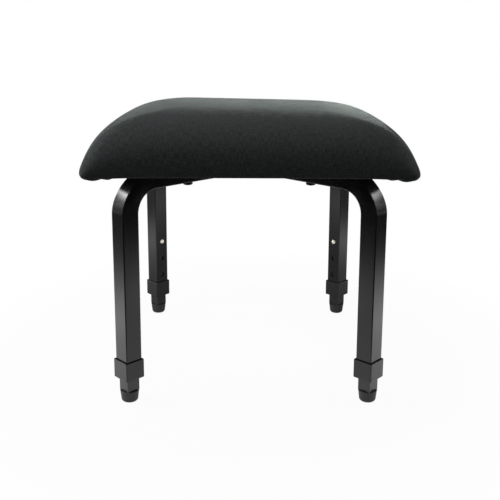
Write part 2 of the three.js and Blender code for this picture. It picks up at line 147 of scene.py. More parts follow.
class Graph:
    """The node tree of a material or of the world."""

    def __init__(self, tree: bpy.types.NodeTree) -> None:
        """Empties the tree, so that it holds only what is added here."""
        self.tree = tree
        tree.nodes.clear()

    def node(
        self,
        kind: str,
        settings: Optional[dict[str, object]] = None,
        inputs: Optional[Inputs] = None,
        output: Union[int, str] = 0,
    ) -> Optional[Wire]:
        """Adds one node of any type.

        Args:
            kind: the node's type name.
            settings: its properties, or under "stops" the places and colours of a ramp.
            inputs: values or wires for its input sockets, by name or number.
            output: which output socket to return.

        Returns:
            The chosen output as a wire, or None from a node without outputs.
        """
        made = self.tree.nodes.new(kind)
        for name, value in (settings or {}).items():
            if name == "stops":
                self.fill_ramp(made.color_ramp, value)
            else:
                setattr(made, name, value)
        for key, value in (inputs or {}).items():
            socket = made.inputs[key]
            if isinstance(value, Wire):
                self.tree.links.new(value.socket, socket)
            else:
                socket.default_value = value
        return Wire(self, made.outputs[output]) if made.outputs else None

    @staticmethod
    def fill_ramp(ramp: bpy.types.ColorRamp, stops: Sequence[RampStop]) -> None:
        """Sets a ramp's stops, each with a place and a grey level."""
        while len(ramp.elements) < len(stops):
            ramp.elements.new(1.0)
        for element, (place, level) in zip(ramp.elements, stops):
            element.position = place
            element.color = (level, level, level, 1.0)

    def place(self) -> Wire:
        """The point on the surface, in metres."""
        return self.node("ShaderNodeTexCoord", output="Object")

    def stretched(self, place: Wire, per_metre: Sequence[float]) -> Wire:
        """A place scaled apart along each axis."""
        scaled = {0: place, 1: tuple(per_metre)}
        return self.node("ShaderNodeVectorMath", {"operation": "MULTIPLY"}, scaled)

    def moved(self, place: Wire, step: Sequence[float]) -> Wire:
        """A place moved by a step."""
        return self.node("ShaderNodeVectorMath", {"operation": "ADD"}, {0: place, 1: tuple(step)})

    def part(self, place: Wire, axis: str) -> Wire:
        """One axis of a place."""
        return self.node("ShaderNodeSeparateXYZ", inputs={0: place}, output=axis)

    def length(self, place: Wire) -> Wire:
        """How far a place is from the stool's middle."""
        return self.node("ShaderNodeVectorMath", {"operation": "LENGTH"}, {0: place}, output="Value")

    def ray(self, kind: str) -> Wire:
        """1 for the rays of one kind, such as Camera or Glossy, and 0 for the others."""
        return self.node("ShaderNodeLightPath", output=f"Is {kind} Ray")

    def noise(self, place: Wire, scale: float, detail: float = 3.0, roughness: float = 0.5) -> Wire:
        """Soft noise from 0 to 1 over a place."""
        inputs = {"Vector": place, "Scale": scale, "Detail": detail, "Roughness": roughness}
        return self.node("ShaderNodeTexNoise", inputs=inputs)

    def cells(self, place: Wire, scale: float) -> Wire:
        """Small cells over a place, 0 at the middle of each."""
        return self.node("ShaderNodeTexVoronoi", inputs={"Vector": place, "Scale": scale})

    def ramp(self, value: Wire, stops: Sequence[RampStop]) -> Wire:
        """A value passed through a grey ramp."""
        return self.node("ShaderNodeValToRGB", {"stops": stops}, {"Fac": value})

    def blended(self, share: Term, first: Term, second: Term) -> Wire:
        """A colour that goes from the first to the second with the share."""
        inputs = {0: share, 6: first, 7: second}
        return self.node("ShaderNodeMix", {"data_type": "RGBA"}, inputs, output=2)

    def bumped(self, height: Wire, depth: float, strength: float = 1.0) -> Wire:
        """A normal that follows a height from 0 to 1, over a depth in metres."""
        inputs = {"Height": height, "Distance": depth, "Strength": strength}
        return self.node("ShaderNodeBump", inputs=inputs)


# Finishes


@dataclass(frozen=True)
class Finish:
    """A surface: its slot in the record, its colour and how it takes the light."""

    name: str
    slot: str
    colour: Colour
    roughness: float
    metallic: float = 0.0
    specular: float = 0.5
    colour_spread: float = 0.1
    gloss_spread: float = 0.05

    def fixed(self) -> Inputs:
        """What is the same all over the surface."""
        return {"Metallic": self.metallic, "Specular IOR Level": self.specular}

    def varied(self, graph: Graph) -> Inputs:
        """What changes over the surface; each kind of finish has its own."""
        raise NotImplementedError

    def shaded(self, graph: Graph, share: Term) -> Wire:
        """The finish's colour, darker and lighter by its spread as the share goes from 0 to 1."""
        low = tuple(channel * (1.0 - self.colour_spread) for channel in self.colour)
        high = tuple(channel * (1.0 + self.colour_spread) for channel in self.colour)
        return graph.blended(share, (*low, 1.0), (*high, 1.0))

    def dulled(self, share: Wire) -> Wire:
        """The finish's roughness, lower and higher by its spread as the share goes from 0 to 1."""
        return self.roughness - self.gloss_spread + 2.0 * self.gloss_spread * share

    def material(self) -> bpy.types.Material:
        """Builds the material, or returns it if it is there already."""
        made = bpy.data.materials.get(self.name)
        if made is None:
            made = bpy.data.materials.new(self.name)
            made.use_nodes = True
            graph = Graph(made.node_tree)
            inputs = {**self.fixed(), **self.varied(graph)}
            shader = graph.node("ShaderNodeBsdfPrincipled", inputs=inputs)
            graph.node("ShaderNodeOutputMaterial", inputs={"Surface": shader})
        return made


@dataclass(frozen=True)
class WovenCloth(Finish):
    """Plain-woven upholstery cloth, with slubs along its threads and a soft sheen at its edges."""

    colour_spread: float = 0.55
    thread_pitch: float = 0.8 * MM
    thread_weight: float = 0.2
    slub_rate: float = 760.0
    slub_drift: float = 120.0
    warp_weight: float = 0.44
    weft_weight: float = 0.36
    contrast: tuple[RampStop, RampStop] = ((0.36, 0.0), (0.64, 1.0))
    cloud_scale: float = 30.0
    relief: float = 0.6 * MM
    relief_strength: float = 0.9
    sheen: float = 1.0
    sheen_roughness: float = 0.08
    sheen_tint: Colour = (0.88, 1.0, 0.94)

    def fixed(self) -> Inputs:
        """The sheen of the fibre ends."""
        return {
            **super().fixed(),
            "Sheen Weight": self.sheen,
            "Sheen Roughness": self.sheen_roughness,
            "Sheen Tint": (*self.sheen_tint, 1.0),
        }

    def threads(self, graph: Graph, place: Wire) -> Wire:
        """The height of the crossing threads, from 0 to 1."""
        rate = 2.0 * math.pi / self.thread_pitch
        across = graph.part(place, "X") * rate
        along = graph.part(place, "Y") * rate
        return 0.5 + 0.25 * across.maths("SINE", across) + 0.25 * along.maths("SINE", along)

    def varied(self, graph: Graph) -> Inputs:
        """Slubs and threads in the colour, the roughness and the surface."""
        place = graph.node("ShaderNodeAttribute", {"attribute_name": CLOTH_PLACE}, output="Vector")
        warp = graph.stretched(place, (self.slub_rate, self.slub_drift, 1.0))
        weft = graph.stretched(place, (self.slub_drift, self.slub_rate, 1.0))
        warp_slubs = self.warp_weight * graph.noise(warp, 1.0, detail=2.0)
        weft_slubs = self.weft_weight * graph.noise(weft, 1.0, detail=2.0)
        grain = warp_slubs + weft_slubs + self.thread_weight * self.threads(graph, place)
        return {
            "Base Color": self.shaded(graph, graph.ramp(grain, self.contrast)),
            "Roughness": self.dulled(graph.noise(place, self.cloud_scale)),
            "Normal": graph.bumped(grain, self.relief, self.relief_strength),
        }


@dataclass(frozen=True)
class Grained(Finish):
    """A finish with a fine grain in its surface, and soft clouds of gloss and colour."""

    grain_scale: float = 950.0
    grain_detail: float = 1.0
    grain_depth: float = 0.012 * MM
    cloud_scale: float = 60.0
    cloud_stretch: Point = (1.0, 1.0, 1.0)

    def varied(self, graph: Graph) -> Inputs:
        """The grain and the clouds."""
        place = graph.place()
        grain = graph.noise(place, self.grain_scale, detail=self.grain_detail)
        clouds = graph.noise(graph.stretched(place, self.cloud_stretch), self.cloud_scale)
        return {
            "Base Color": self.shaded(graph, clouds),
            "Roughness": self.dulled(clouds),
            "Normal": graph.bumped(grain, self.grain_depth),
        }


@dataclass(frozen=True)
class PowderCoat(Grained):
    """Satin paint baked on steel, with a faint orange peel."""

    colour_spread: float = 0.16
    grain_scale: float = 900.0
    grain_detail: float = 2.0
    grain_depth: float = 0.006 * MM
    cloud_scale: float = 38.0
    cloud_stretch: Point = (1.0, 1.0, 0.35)


@dataclass(frozen=True)
class MouldedPlastic(Grained):
    """Black moulded plastic with a fine spark-eroded grain."""

    colour_spread: float = 0.14
    gloss_spread: float = 0.06


@dataclass(frozen=True)
class PlatedMetal(Finish):
    """Plated or plain steel with fine rolling lines."""

    gloss_spread: float = 0.07
    line_scale: float = 1800.0
    line_stretch: Point = (1.0, 1.0, 0.06)
    line_depth: float = 0.01 * MM
    tarnish_scale: float = 320.0

    def varied(self, graph: Graph) -> Inputs:
        """Rolling lines along the height, in the gloss and the surface."""
        place = graph.place()
        lines = graph.noise(graph.stretched(place, self.line_stretch), self.line_scale, detail=2.0)
        return {
            "Base Color": self.shaded(graph, graph.noise(place, self.tarnish_scale)),
            "Roughness": self.dulled(lines),
            "Normal": graph.bumped(lines, self.line_depth),
        }


@dataclass(frozen=True)
class OpenFoam(Finish):
    """Cream open-cell foam."""

    colour_spread: float = 0.2
    cell_scale: float = 1400.0
    cell_depth: float = 0.4 * MM
    cell_strength: float = 0.8
    cell_gloss: float = 0.04

    def varied(self, graph: Graph) -> Inputs:
        """Cells in the colour and the surface."""
        cells = graph.cells(graph.place(), self.cell_scale)
        return {
            "Base Color": self.shaded(graph, cells),
            "Roughness": self.roughness - self.cell_gloss * cells,
            "Normal": graph.bumped(cells, self.cell_depth, self.cell_strength),
        }


@dataclass(frozen=True)
class BirchPly(Finish):
    """Birch plywood: grain on the faces and darker glue lines between the plies."""

    colour_spread: float = 0.3
    ply: float = 1.5 * MM
    grain_rates: Point = (9.0, 160.0, 40.0)
    grain_weight: float = 0.75
    grain_gloss: float = 0.1
    grain_depth: float = 0.15 * MM
    grain_strength: float = 0.6

    def varied(self, graph: Graph) -> Inputs:
        """Long grain along X, and glue lines up the edges."""
        place = graph.place()
        grain = graph.noise(graph.stretched(place, self.grain_rates), 1.0, detail=5.0, roughness=0.6)
        height = graph.part(place, "Z") * (2.0 * math.pi / self.ply)
        plies = 0.5 + 0.5 * height.maths("SINE", height)
        return {
            "Base Color": self.shaded(graph, self.grain_weight * grain + (1.0 - self.grain_weight) * plies),
            "Roughness": self.roughness + self.grain_gloss * grain,
            "Normal": graph.bumped(grain, self.grain_depth, self.grain_strength),
        }


@dataclass(frozen=True)
class BondedFelt(Finish):
    """Thin black non-woven cloth with a spotted bond pattern."""

    colour_spread: float = 0.4
    spot_scale: float = 650.0
    spot_gloss: float = 0.1
    fibre_scale: float = 1500.0
    felt_depth: float = 0.1 * MM
    felt_strength: float = 0.8

    def varied(self, graph: Graph) -> Inputs:
        """Bond spots and matted fibres."""
        place = graph.place()
        spots = graph.cells(place, self.spot_scale)
        fibres = graph.noise(place, self.fibre_scale, detail=4.0, roughness=0.7)
        felt = 0.5 * spots + 0.5 * fibres
        return {
            "Base Color": self.shaded(graph, felt),
            "Roughness": self.roughness - self.spot_gloss * spots,
            "Normal": graph.bumped(felt, self.felt_depth, self.felt_strength),
        }


CLOTH = WovenCloth("black_cloth", "cover_fabric", (0.0185, 0.0203, 0.0207), 0.92, specular=0.25)
FOAM = OpenFoam("cream_foam", "foam", (0.68, 0.62, 0.4), 0.92)
PLYWOOD = BirchPly("birch_ply", "plywood", (0.45, 0.28, 0.12), 0.6)
FELT = BondedFelt("dust_felt", "dust_cloth", (0.012, 0.012, 0.012), 0.9, specular=0.2)
SATIN_BLACK = (0.014, 0.0135, 0.0135)
FRAME_PAINT = PowderCoat("frame_paint", "frame_steel", (0.0085, 0.008, 0.008), 0.21, specular=0.6)
LEG_PAINT = PowderCoat("inner_leg_paint", "inner_leg_steel", SATIN_BLACK, 0.32, specular=0.75)
COLLAR_PLASTIC = MouldedPlastic("collar_moulding", "collar_plastic", SATIN_BLACK, 0.33, specular=0.6)
GUIDE_PLASTIC = MouldedPlastic("guide_moulding", "guide_plastic", (0.04, 0.04, 0.04), 0.5)
RUBBER = MouldedPlastic("ribbed_rubber", "foot_rubber", (0.032, 0.0345, 0.032), 0.55, grain_scale=700.0)
BLACK_OXIDE = PlatedMetal("bolt_black_oxide", "bolt_steel", (0.014, 0.014, 0.014), 0.45, metallic=0.4)
ZINC = PlatedMetal("zinc_plate", "zinc_steel", (0.5, 0.5, 0.51), 0.4, metallic=1.0)
SPRING_STEEL = PlatedMetal("plain_spring_steel", "spring_steel", (0.3, 0.3, 0.31), 0.38, metallic=1.0)
NICKEL = PlatedMetal("nickel_plate", "button_nickel", (0.99, 0.93, 0.8), 0.3, metallic=0.3, line_scale=600.0)


# Shapes


@dataclass
class Shape:
    """Points and faces that make up a closed body."""

    points: np.ndarray
    faces: list[tuple[int, ...]] = field(default_factory=list)

    @classmethod
    def loft(cls, rings: Sequence[np.ndarray], wrapped: bool = False) -> Shape:
        """Skins a row of rings that have the same number of points.

        Args:
            rings: the rings, in order; a first or last ring may be a single place repeated.
            wrapped: True where the last ring joins the first, as on a hollow tube.

        Returns:
            The skin, with flat ends where it isn't wrapped.
        """
        count = len(rings[0])
        faces = []
        spans = len(rings) if wrapped else len(rings) - 1
        for span in range(spans):
            low = span * count
            high = ((span + 1) % len(rings)) * count
            for i in range(count):
                j = (i + 1) % count
                faces.append((low + i, low + j, high + j, high + i))
        if not wrapped:
            faces.append(tuple(reversed(range(count))))
            faces.append(tuple(range((len(rings) - 1) * count, len(rings) * count)))
        return cls(np.vstack(rings), faces)

    def placed(self, place: Matrix) -> Shape:
        """The shape moved by a matrix."""
        turn = np.array(place.to_3x3())
        return Shape(self.points @ turn.T + np.array(place.translation), list(self.faces))

    def plus(self, other: Shape) -> Shape:
        """Both shapes in one."""
        shift = len(self.points)
        faces = [tuple(index + shift for index in face) for face in other.faces]
        return Shape(np.vstack([self.points, other.points]), self.faces + faces)


def ring_points(section: Section, reach: float, corner: float, count: int) -> np.ndarray:
    """The points of one outline around the origin.

    Args:
        section: the kind of outline.
        reach: the radius, or half the width of a square, or half the flats of a hexagon.
        corner: the corner radius of a square.
        count: how many points; for a square it is a multiple of four.

    Returns:
        An array of count by two.
    """
    if section is Section.SQUARE:
        steps = count // 4
        flats = steps // 4
        straight = reach - corner
        side = [(reach, straight * step / flats) for step in range(flats)]
        for angle in np.linspace(0.0, QUARTER_TURN, steps - flats - max(flats - 1, 0)):
            side.append((straight + corner * math.cos(angle), straight + corner * math.sin(angle)))
        side += [(straight * step / flats, reach) for step in range(flats - 1, 0, -1)]
        points = []
        for quarter in range(4):
            cosine, sine = math.cos(quarter * QUARTER_TURN), math.sin(quarter * QUARTER_TURN)
            points += [(x * cosine - y * sine, x * sine + y * cosine) for x, y in side]
        return np.array(points)
    angles = 2.0 * math.pi * np.arange(count) / count
    radii = np.full(count, reach)
    if section is Section.HEXAGON:
        sixth = math.pi / 3.0
        radii = reach / np.cos((angles + 0.5 * sixth) % sixth - 0.5 * sixth)
    return np.column_stack([radii * np.cos(angles), radii * np.sin(angles)])


@dataclass(frozen=True)
class Stop:
    """One point of a profile: how far out, how high, and how its corner and outline are shaped."""

    reach: float
    height: float
    fillet: float = 0.0
    corner: float = 0.0
    section: Section = Section.ROUND


def filleted(stops: Sequence[Stop], steps: int = 4) -> list[Stop]:
    """Rounds the corners of a profile that ask for it.

    Args:
        stops: the profile's points.
        steps: how many steps each round has.

    Returns:
        The profile with each filleted point replaced by the points of its arc.
    """
    rounded = []
    last = len(stops) - 1
    for index, stop in enumerate(stops):
        if stop.fillet <= 0.0 or index in (0, last):
            rounded.append(stop)
            continue
        here = Vector((stop.reach, stop.height))
        before = Vector((stops[index - 1].reach, stops[index - 1].height)) - here
        after = Vector((stops[index + 1].reach, stops[index + 1].height)) - here
        size = min(stop.fillet, FILLET_SHARE * before.length, FILLET_SHARE * after.length)
        start = here + before.normalized() * size
        end = here + after.normalized() * size
        for step in range(steps + 1):
            share = step / steps
            point = (1 - share) ** 2 * start + 2 * share * (1 - share) * here + share**2 * end
            rounded.append(Stop(point.x, point.y, 0.0, stop.corner, stop.section))
    return rounded


def arc(place: Stop, wide: float, tall: float, angles: np.ndarray) -> list[Stop]:
    """Stops along an oval arc about a place, at angles from the way outwards towards the top.

    Args:
        place: the arc's middle.
        wide: how far the arc reaches outwards.
        tall: how far it reaches upwards.
        angles: the angles of the stops.

    Returns:
        The stops, in the order of the angles.
    """
    outwards = place.reach + wide * np.cos(angles)
    upwards = place.height + tall * np.sin(angles)
    return [Stop(reach, height) for reach, height in zip(outwards.tolist(), upwards.tolist())]


def turned(stops: Sequence[Stop], count: int = 48, wrapped: bool = False) -> Shape:
    """A body whose outline follows a profile up the Z axis.

    Args:
        stops: the profile, from its first point to its last.
        count: how many points each ring has.
        wrapped: True for a ring-like body, whose profile is closed.

    Returns:
        The body, standing on the Z axis.
    """
    rings = []
    for stop in filleted(list(stops) + ([stops[0]] if wrapped else [])):
        corner = min(stop.corner, stop.reach)
        flat = ring_points(stop.section, max(stop.reach, 0.0), corner, count)
        rings.append(np.column_stack([flat, np.full(count, stop.height)]))
    if wrapped:
        rings.pop()
    return Shape.loft(rings, wrapped)


@dataclass(frozen=True)
class Station:
    """A place on a path in the XZ plane, with the way that the path runs."""

    x: float
    z: float
    along_x: float
    along_z: float
    press: float = 0.0
    edge_hold: ClassVar[float] = 0.15
    swell_share: ClassVar[float] = 0.16
    swell_turn: ClassVar[float] = 1.9
    swell_peak: ClassVar[float] = 0.1

    def pressed(self, outline: np.ndarray) -> tuple[np.ndarray, np.ndarray]:
        """An outline whose outer wall has sunk and whose sides have swollen, as on a bent tube."""
        first, second = outline[:, 0], outline[:, 1]
        reach = np.abs(outline).max()
        sunk = self.press * np.clip(first / reach, 0.0, 1.0) * (1.0 - self.edge_hold * (second / reach) ** 2)
        swell = self.swell_share * self.press * np.cos(self.swell_turn * (first / reach - self.swell_peak))
        return first - sunk, second + swell * second / reach

    def ring(self, outline: np.ndarray) -> np.ndarray:
        """An outline set square to the path, its first axis outwards and its second along Y."""
        length = math.hypot(self.along_x, self.along_z)
        out_x, out_z = -self.along_z / length, self.along_x / length
        first, second = self.pressed(outline)
        return np.column_stack([self.x + first * out_x, second, self.z + first * out_z])

    def mirrored(self) -> Station:
        """The station on the other side of the middle, with the path run the same way."""
        return Station(-self.x, self.z, self.along_x, -self.along_z, self.press)


def swept(outline: np.ndarray, stations: Sequence[Station]) -> Shape:
    """A solid bar along a path."""
    return Shape.loft([station.ring(outline) for station in stations])


def piped(outer: np.ndarray, inner: np.ndarray, stations: Sequence[Station]) -> Shape:
    """A hollow tube along a path, open at both ends."""
    outside = [station.ring(outer) for station in stations]
    inside = [station.ring(inner) for station in reversed(stations)]
    return Shape.loft(outside + inside, wrapped=True)


def spin(turn: float) -> Matrix:
    """A turn about the stool's middle."""
    return Matrix.Rotation(turn, 4, "Z")


def facing_in(height: float) -> Matrix:
    """Turns what stands upright to point at the stool's middle, at a height on a leg."""
    return Matrix.Translation((0.0, 0.0, height)) @ Matrix.Rotation(-QUARTER_TURN, 4, "Y")


def rod(radius: float, start: float, end: float, count: int = 32) -> Shape:
    """A plain round bar on the Z axis, for cutting holes."""
    return turned([Stop(radius, start), Stop(radius, end)], count)


# Making and fitting pieces


class Bench:
    """Turns shapes into pieces of the stool, dresses them and reports each one."""

    sharp_angle = math.radians(38.0)

    def mesh(self, name: str, shape: Shape, joined: bool = True) -> bpy.types.Mesh:
        """A mesh of a shape, with its faces turned outwards.

        Args:
            name: the mesh's name.
            shape: the shape.
            joined: True where doubled points are joined; False keeps every point and its number.

        Returns:
            The mesh.
        """
        mesh = bpy.data.meshes.new(name)
        mesh.from_pydata([tuple(point) for point in shape.points], [], shape.faces)
        work = bmesh.new()
        work.from_mesh(mesh)
        if joined:
            bmesh.ops.remove_doubles(work, verts=work.verts, dist=WELD_DISTANCE)
            bmesh.ops.dissolve_degenerate(work, edges=work.edges, dist=WELD_DISTANCE)
        bmesh.ops.recalc_face_normals(work, faces=work.faces)
        work.to_mesh(mesh)
        work.free()
        return mesh

    def holed(self, name: str, shape: Shape, cutters: Sequence[Shape]) -> bpy.types.Mesh:
        """A mesh of a shape with others cut out of it."""
        whole = self.loose(name + "_blank", self.mesh(name + "_blank", shape))
        tools = cutters[0]
        for cutter in cutters[1:]:
            tools = tools.plus(cutter)
        tool = self.loose(name + "_cutter", self.mesh(name + "_cutter", tools))
        cut = whole.modifiers.new("holes", "BOOLEAN")
        cut.object = tool
        cut.operation = "DIFFERENCE"
        cut.solver = "EXACT"
        graph = bpy.context.evaluated_depsgraph_get()
        mesh = bpy.data.meshes.new_from_object(whole.evaluated_get(graph))
        mesh.name = name
        for spare in (whole, tool):
            spare_mesh = spare.data
            bpy.data.objects.remove(spare)
            bpy.data.meshes.remove(spare_mesh)
        return mesh

    def loose(self, name: str, mesh: bpy.types.Mesh) -> bpy.types.Object:
        """An object of a mesh, linked to the scene."""
        made = bpy.data.objects.new(name, mesh)
        bpy.context.scene.collection.objects.link(made)
        return made

    def fit(
        self,
        name: str,
        mesh: bpy.types.Mesh,
        finish: Finish,
        body: str,
        nodes: Sequence[str] = (),
        crisp: bool = True,
    ) -> bpy.types.Object:
        """Makes a piece of the stool from a mesh.

        Args:
            name: the piece's name.
            mesh: its mesh, with its place in its points.
            finish: its surface.
            body: the body that it moves with.
            nodes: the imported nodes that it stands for.
            crisp: True where edges sharper than a set angle stay sharp.

        Returns:
            The piece.
        """
        piece = self.loose(name, mesh)
        mesh.materials.clear()
        mesh.materials.append(finish.material())
        mesh.polygons.foreach_set("material_index", [0] * len(mesh.polygons))
        mesh.polygons.foreach_set("use_smooth", [True] * len(mesh.polygons))
        if crisp:
            mesh.set_sharp_from_angle(angle=self.sharp_angle)
            normals = piece.modifiers.new("normals", "WEIGHTED_NORMAL")
            normals.keep_sharp = True
        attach(piece, body)
        if nodes:
            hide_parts(*nodes)
        LOG.info("%s on %s: %d faces", name, body, len(mesh.polygons))
        return piece

    def dress(self, node: str, finish: Finish) -> None:
        """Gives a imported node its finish."""
        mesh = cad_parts[node].data
        mesh.materials.clear()
        mesh.materials.append(finish.material())
        LOG.info("%s dressed in %s", node, finish.name)


# Frame


@dataclass
class Frame:
    """The two crossed arches of bent square tube, with the weld between them."""

    tube: float = 25.4 * MM
    wall: float = 1.5 * MM
    corner: float = 1.3 * MM
    inner_corner: float = 0.4 * MM
    underside: float = 299.4 * MM
    leg_reach: float = 231.0 * MM
    splay: float = math.radians(1.5)
    bend_inside: float = 32.0 * MM
    bend_press: float = 2.4 * MM
    leg_end: float = 39.7 * MM
    bend_steps: int = 28
    outline_points: int = 56
    hole_heights: tuple[float, ...] = (77.1 * MM, 109.1 * MM, 141.1 * MM)
    hole_radius: float = 4.35 * MM
    bolt_reach: float = 123.0 * MM
    bolt_hole: float = 3.3 * MM
    weld_leg: float = 4.0 * MM
    weld_steps: int = 6
    weld_corner_steps: int = 5
    weld_ripples: int = 26
    ripple_turn: float = 1.15
    ripple_share: float = 0.12
    valley_share: float = 0.86
    throat_share: float = 0.74
    overrun: float = 2.0 * MM

    @property
    def half(self) -> float:
        """Half the tube's side."""
        return 0.5 * self.tube

    @property
    def foot_reach(self) -> float:
        """How far from the middle a leg's axis meets the floor."""
        return self.leg_reach + self.underside * math.tan(self.splay)

    def leg_place(self, turn: float) -> Matrix:
        """Where an upright leg stands, with the stool's middle towards its -X."""
        lean = Matrix.Rotation(-self.splay, 4, "Y")
        return spin(turn) @ Matrix.Translation((self.foot_reach, 0.0, 0.0)) @ lean

    def bolt_place(self, turn: float) -> Matrix:
        """Where a seat bolt stands under its arm."""
        return spin(turn) @ Matrix.Translation((self.bolt_reach, 0.0, 0.0))

    def half_path(self) -> list[Station]:
        """The stations from the start of a bend to the end of its leg."""
        radius = self.bend_inside + self.half
        centre_z = self.underside + self.half - radius
        offset = self.foot_reach * math.cos(self.splay)
        centre_x = (offset - radius - centre_z * math.sin(self.splay)) / math.cos(self.splay)
        turn = QUARTER_TURN - self.splay
        path = []
        for step in range(self.bend_steps + 1):
            angle = turn * step / self.bend_steps
            x = centre_x + radius * math.sin(angle)
            z = centre_z + radius * math.cos(angle)
            press = self.bend_press * math.sin(math.pi * step / self.bend_steps) ** 2
            path.append(Station(x, z, math.cos(angle), -math.sin(angle), press))
        end_x = self.foot_reach - self.leg_end * math.sin(self.splay)
        end_z = self.leg_end * math.cos(self.splay)
        path.append(Station(end_x, end_z, math.sin(self.splay), -math.cos(self.splay)))
        return path

    def outlines(self) -> tuple[np.ndarray, np.ndarray]:
        """The tube's outer and inner outlines."""
        outer = ring_points(Section.SQUARE, self.half, self.corner, self.outline_points)
        inside = self.half - self.wall
        return outer, ring_points(Section.SQUARE, inside, self.inner_corner, self.outline_points)

    def holes(self) -> list[Shape]:
        """Cutters for the snap holes and the bolt hole of one arm, before the arm is turned."""
        leg = self.leg_place(0.0)
        snap = rod(self.hole_radius, self.half - self.wall - self.overrun, self.half + self.overrun)
        cutters = [snap.placed(leg @ facing_in(height)) for height in self.hole_heights]
        bolt = rod(self.bolt_hole, self.underside - self.overrun, self.underside + self.tube + self.overrun)
        cutters.append(bolt.placed(self.bolt_place(0.0)))
        return cutters

    def long_tube(self, bench: Bench) -> None:
        """The arch that runs unbroken from the front left foot to the rear right one."""
        half = self.half_path()
        path = [station.mirrored() for station in reversed(half)] + half
        cutters = self.holes()
        cutters += [cutter.placed(spin(math.pi)) for cutter in cutters]
        self.lay(bench, "arch_tube_long", "frame_tube_long", path, cutters, Corner.REAR_RIGHT.turn)

    def half_tube(self, bench: Bench, corner: Corner, side: str) -> None:
        """An arm of the other arch, from the long tube's side to its leg's end."""
        start = Station(self.half + GAP, self.underside + self.half, 1.0, 0.0)
        path = [start] + self.half_path()
        self.lay(bench, f"arch_tube_{side}", f"frame_tube_{side}", path, self.holes(), corner.turn)

    def lay(
        self,
        bench: Bench,
        name: str,
        node: str,
        path: Sequence[Station],
        cutters: Sequence[Shape],
        turn: float,
    ) -> None:
        """Makes one tube along a path and turns it to its diagonal."""
        mesh = bench.holed(name, piped(*self.outlines(), path), cutters)
        mesh.transform(spin(turn))
        bench.fit(name, mesh, FRAME_PAINT, "root", [node])

    def weld_path(self) -> list[Station]:
        """The line of the weld: down one side of an arm, under it and up the other."""
        offset = self.half + GAP
        corner = self.corner + GAP
        straight = offset - corner
        down = np.linspace(self.half, -straight, self.weld_ripples + 1).tolist()
        side = [Station(offset, z, 0.0, -1.0) for z in down]
        for angle in np.linspace(0.0, QUARTER_TURN, self.weld_corner_steps + 1)[1:].tolist():
            x = straight + corner * math.cos(angle)
            z = -straight - corner * math.sin(angle)
            side.append(Station(x, z, -math.sin(angle), -math.cos(angle)))
        across = np.linspace(straight, -straight, self.weld_ripples + 1)[1:-1].tolist()
        under = [Station(x, -offset, -1.0, 0.0) for x in across]
        return side + under + [station.mirrored() for station in reversed(side)]

    def weld(self, bench: Bench, corner: Corner, side: str) -> None:
        """A rippled fillet weld around the start of an arm."""
        rings = []
        for index, station in enumerate(self.weld_path()):
            ripple = abs(math.sin(self.ripple_turn * index))
            size = self.weld_leg * (self.valley_share + self.ripple_share * ripple)
            outline = [(0.0, 0.0)]
            for step in range(self.weld_steps + 1):
                angle = QUARTER_TURN * step / self.weld_steps
                bulge = (1.0 - self.throat_share) * abs(math.cos(2.0 * angle))
                swell = size * (self.throat_share + bulge)
                outline.append((swell * math.cos(angle), swell * math.sin(angle)))
            rings.append(station.ring(np.array(outline)))
        middle = Matrix.Translation((self.half + GAP, 0.0, self.underside + self.half))
        shape = Shape.loft(rings).placed(spin(corner.turn) @ middle @ spin(QUARTER_TURN))
        name = f"weld_{side}"
        bench.fit(name, bench.mesh(name, shape), FRAME_PAINT, "root", [f"weld_bead_{side}"])

    def build(self, bench: Bench) -> None:
        """Makes both arches and their welds."""
        self.long_tube(bench)
        for corner, side in ((Corner.FRONT_RIGHT, "front_right"), (Corner.REAR_LEFT, "rear_left")):
            self.half_tube(bench, corner, side)
            self.weld(bench, corner, side)


# Legs and seat fixings


@dataclass
class CornerParts:
    """Parts that are alike at every corner, made upright on the Z axis and then set in place."""

    corner: Corner
    place: Matrix

    def keyed(self, word: str) -> str:
        """A word with the corner's short name behind it."""
        return f"{word}_{self.corner.key}"

    def stand(
        self,
        bench: Bench,
        kind: str,
        shape: Shape,
        finish: Finish,
        node: str,
        body: str = "root",
    ) -> None:
        """Makes a piece of a shape and sets it in place.

        Args:
            bench: what makes the piece.
            kind: the piece's name, without its corner.
            shape: its shape, upright on the Z axis.
            finish: its surface.
            node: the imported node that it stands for, without its corner.
            body: the body that it moves with.
        """
        name = self.keyed(kind)
        mesh = bench.mesh(name, shape.placed(self.place))
        bench.fit(name, mesh, finish, body, [self.keyed(node)])


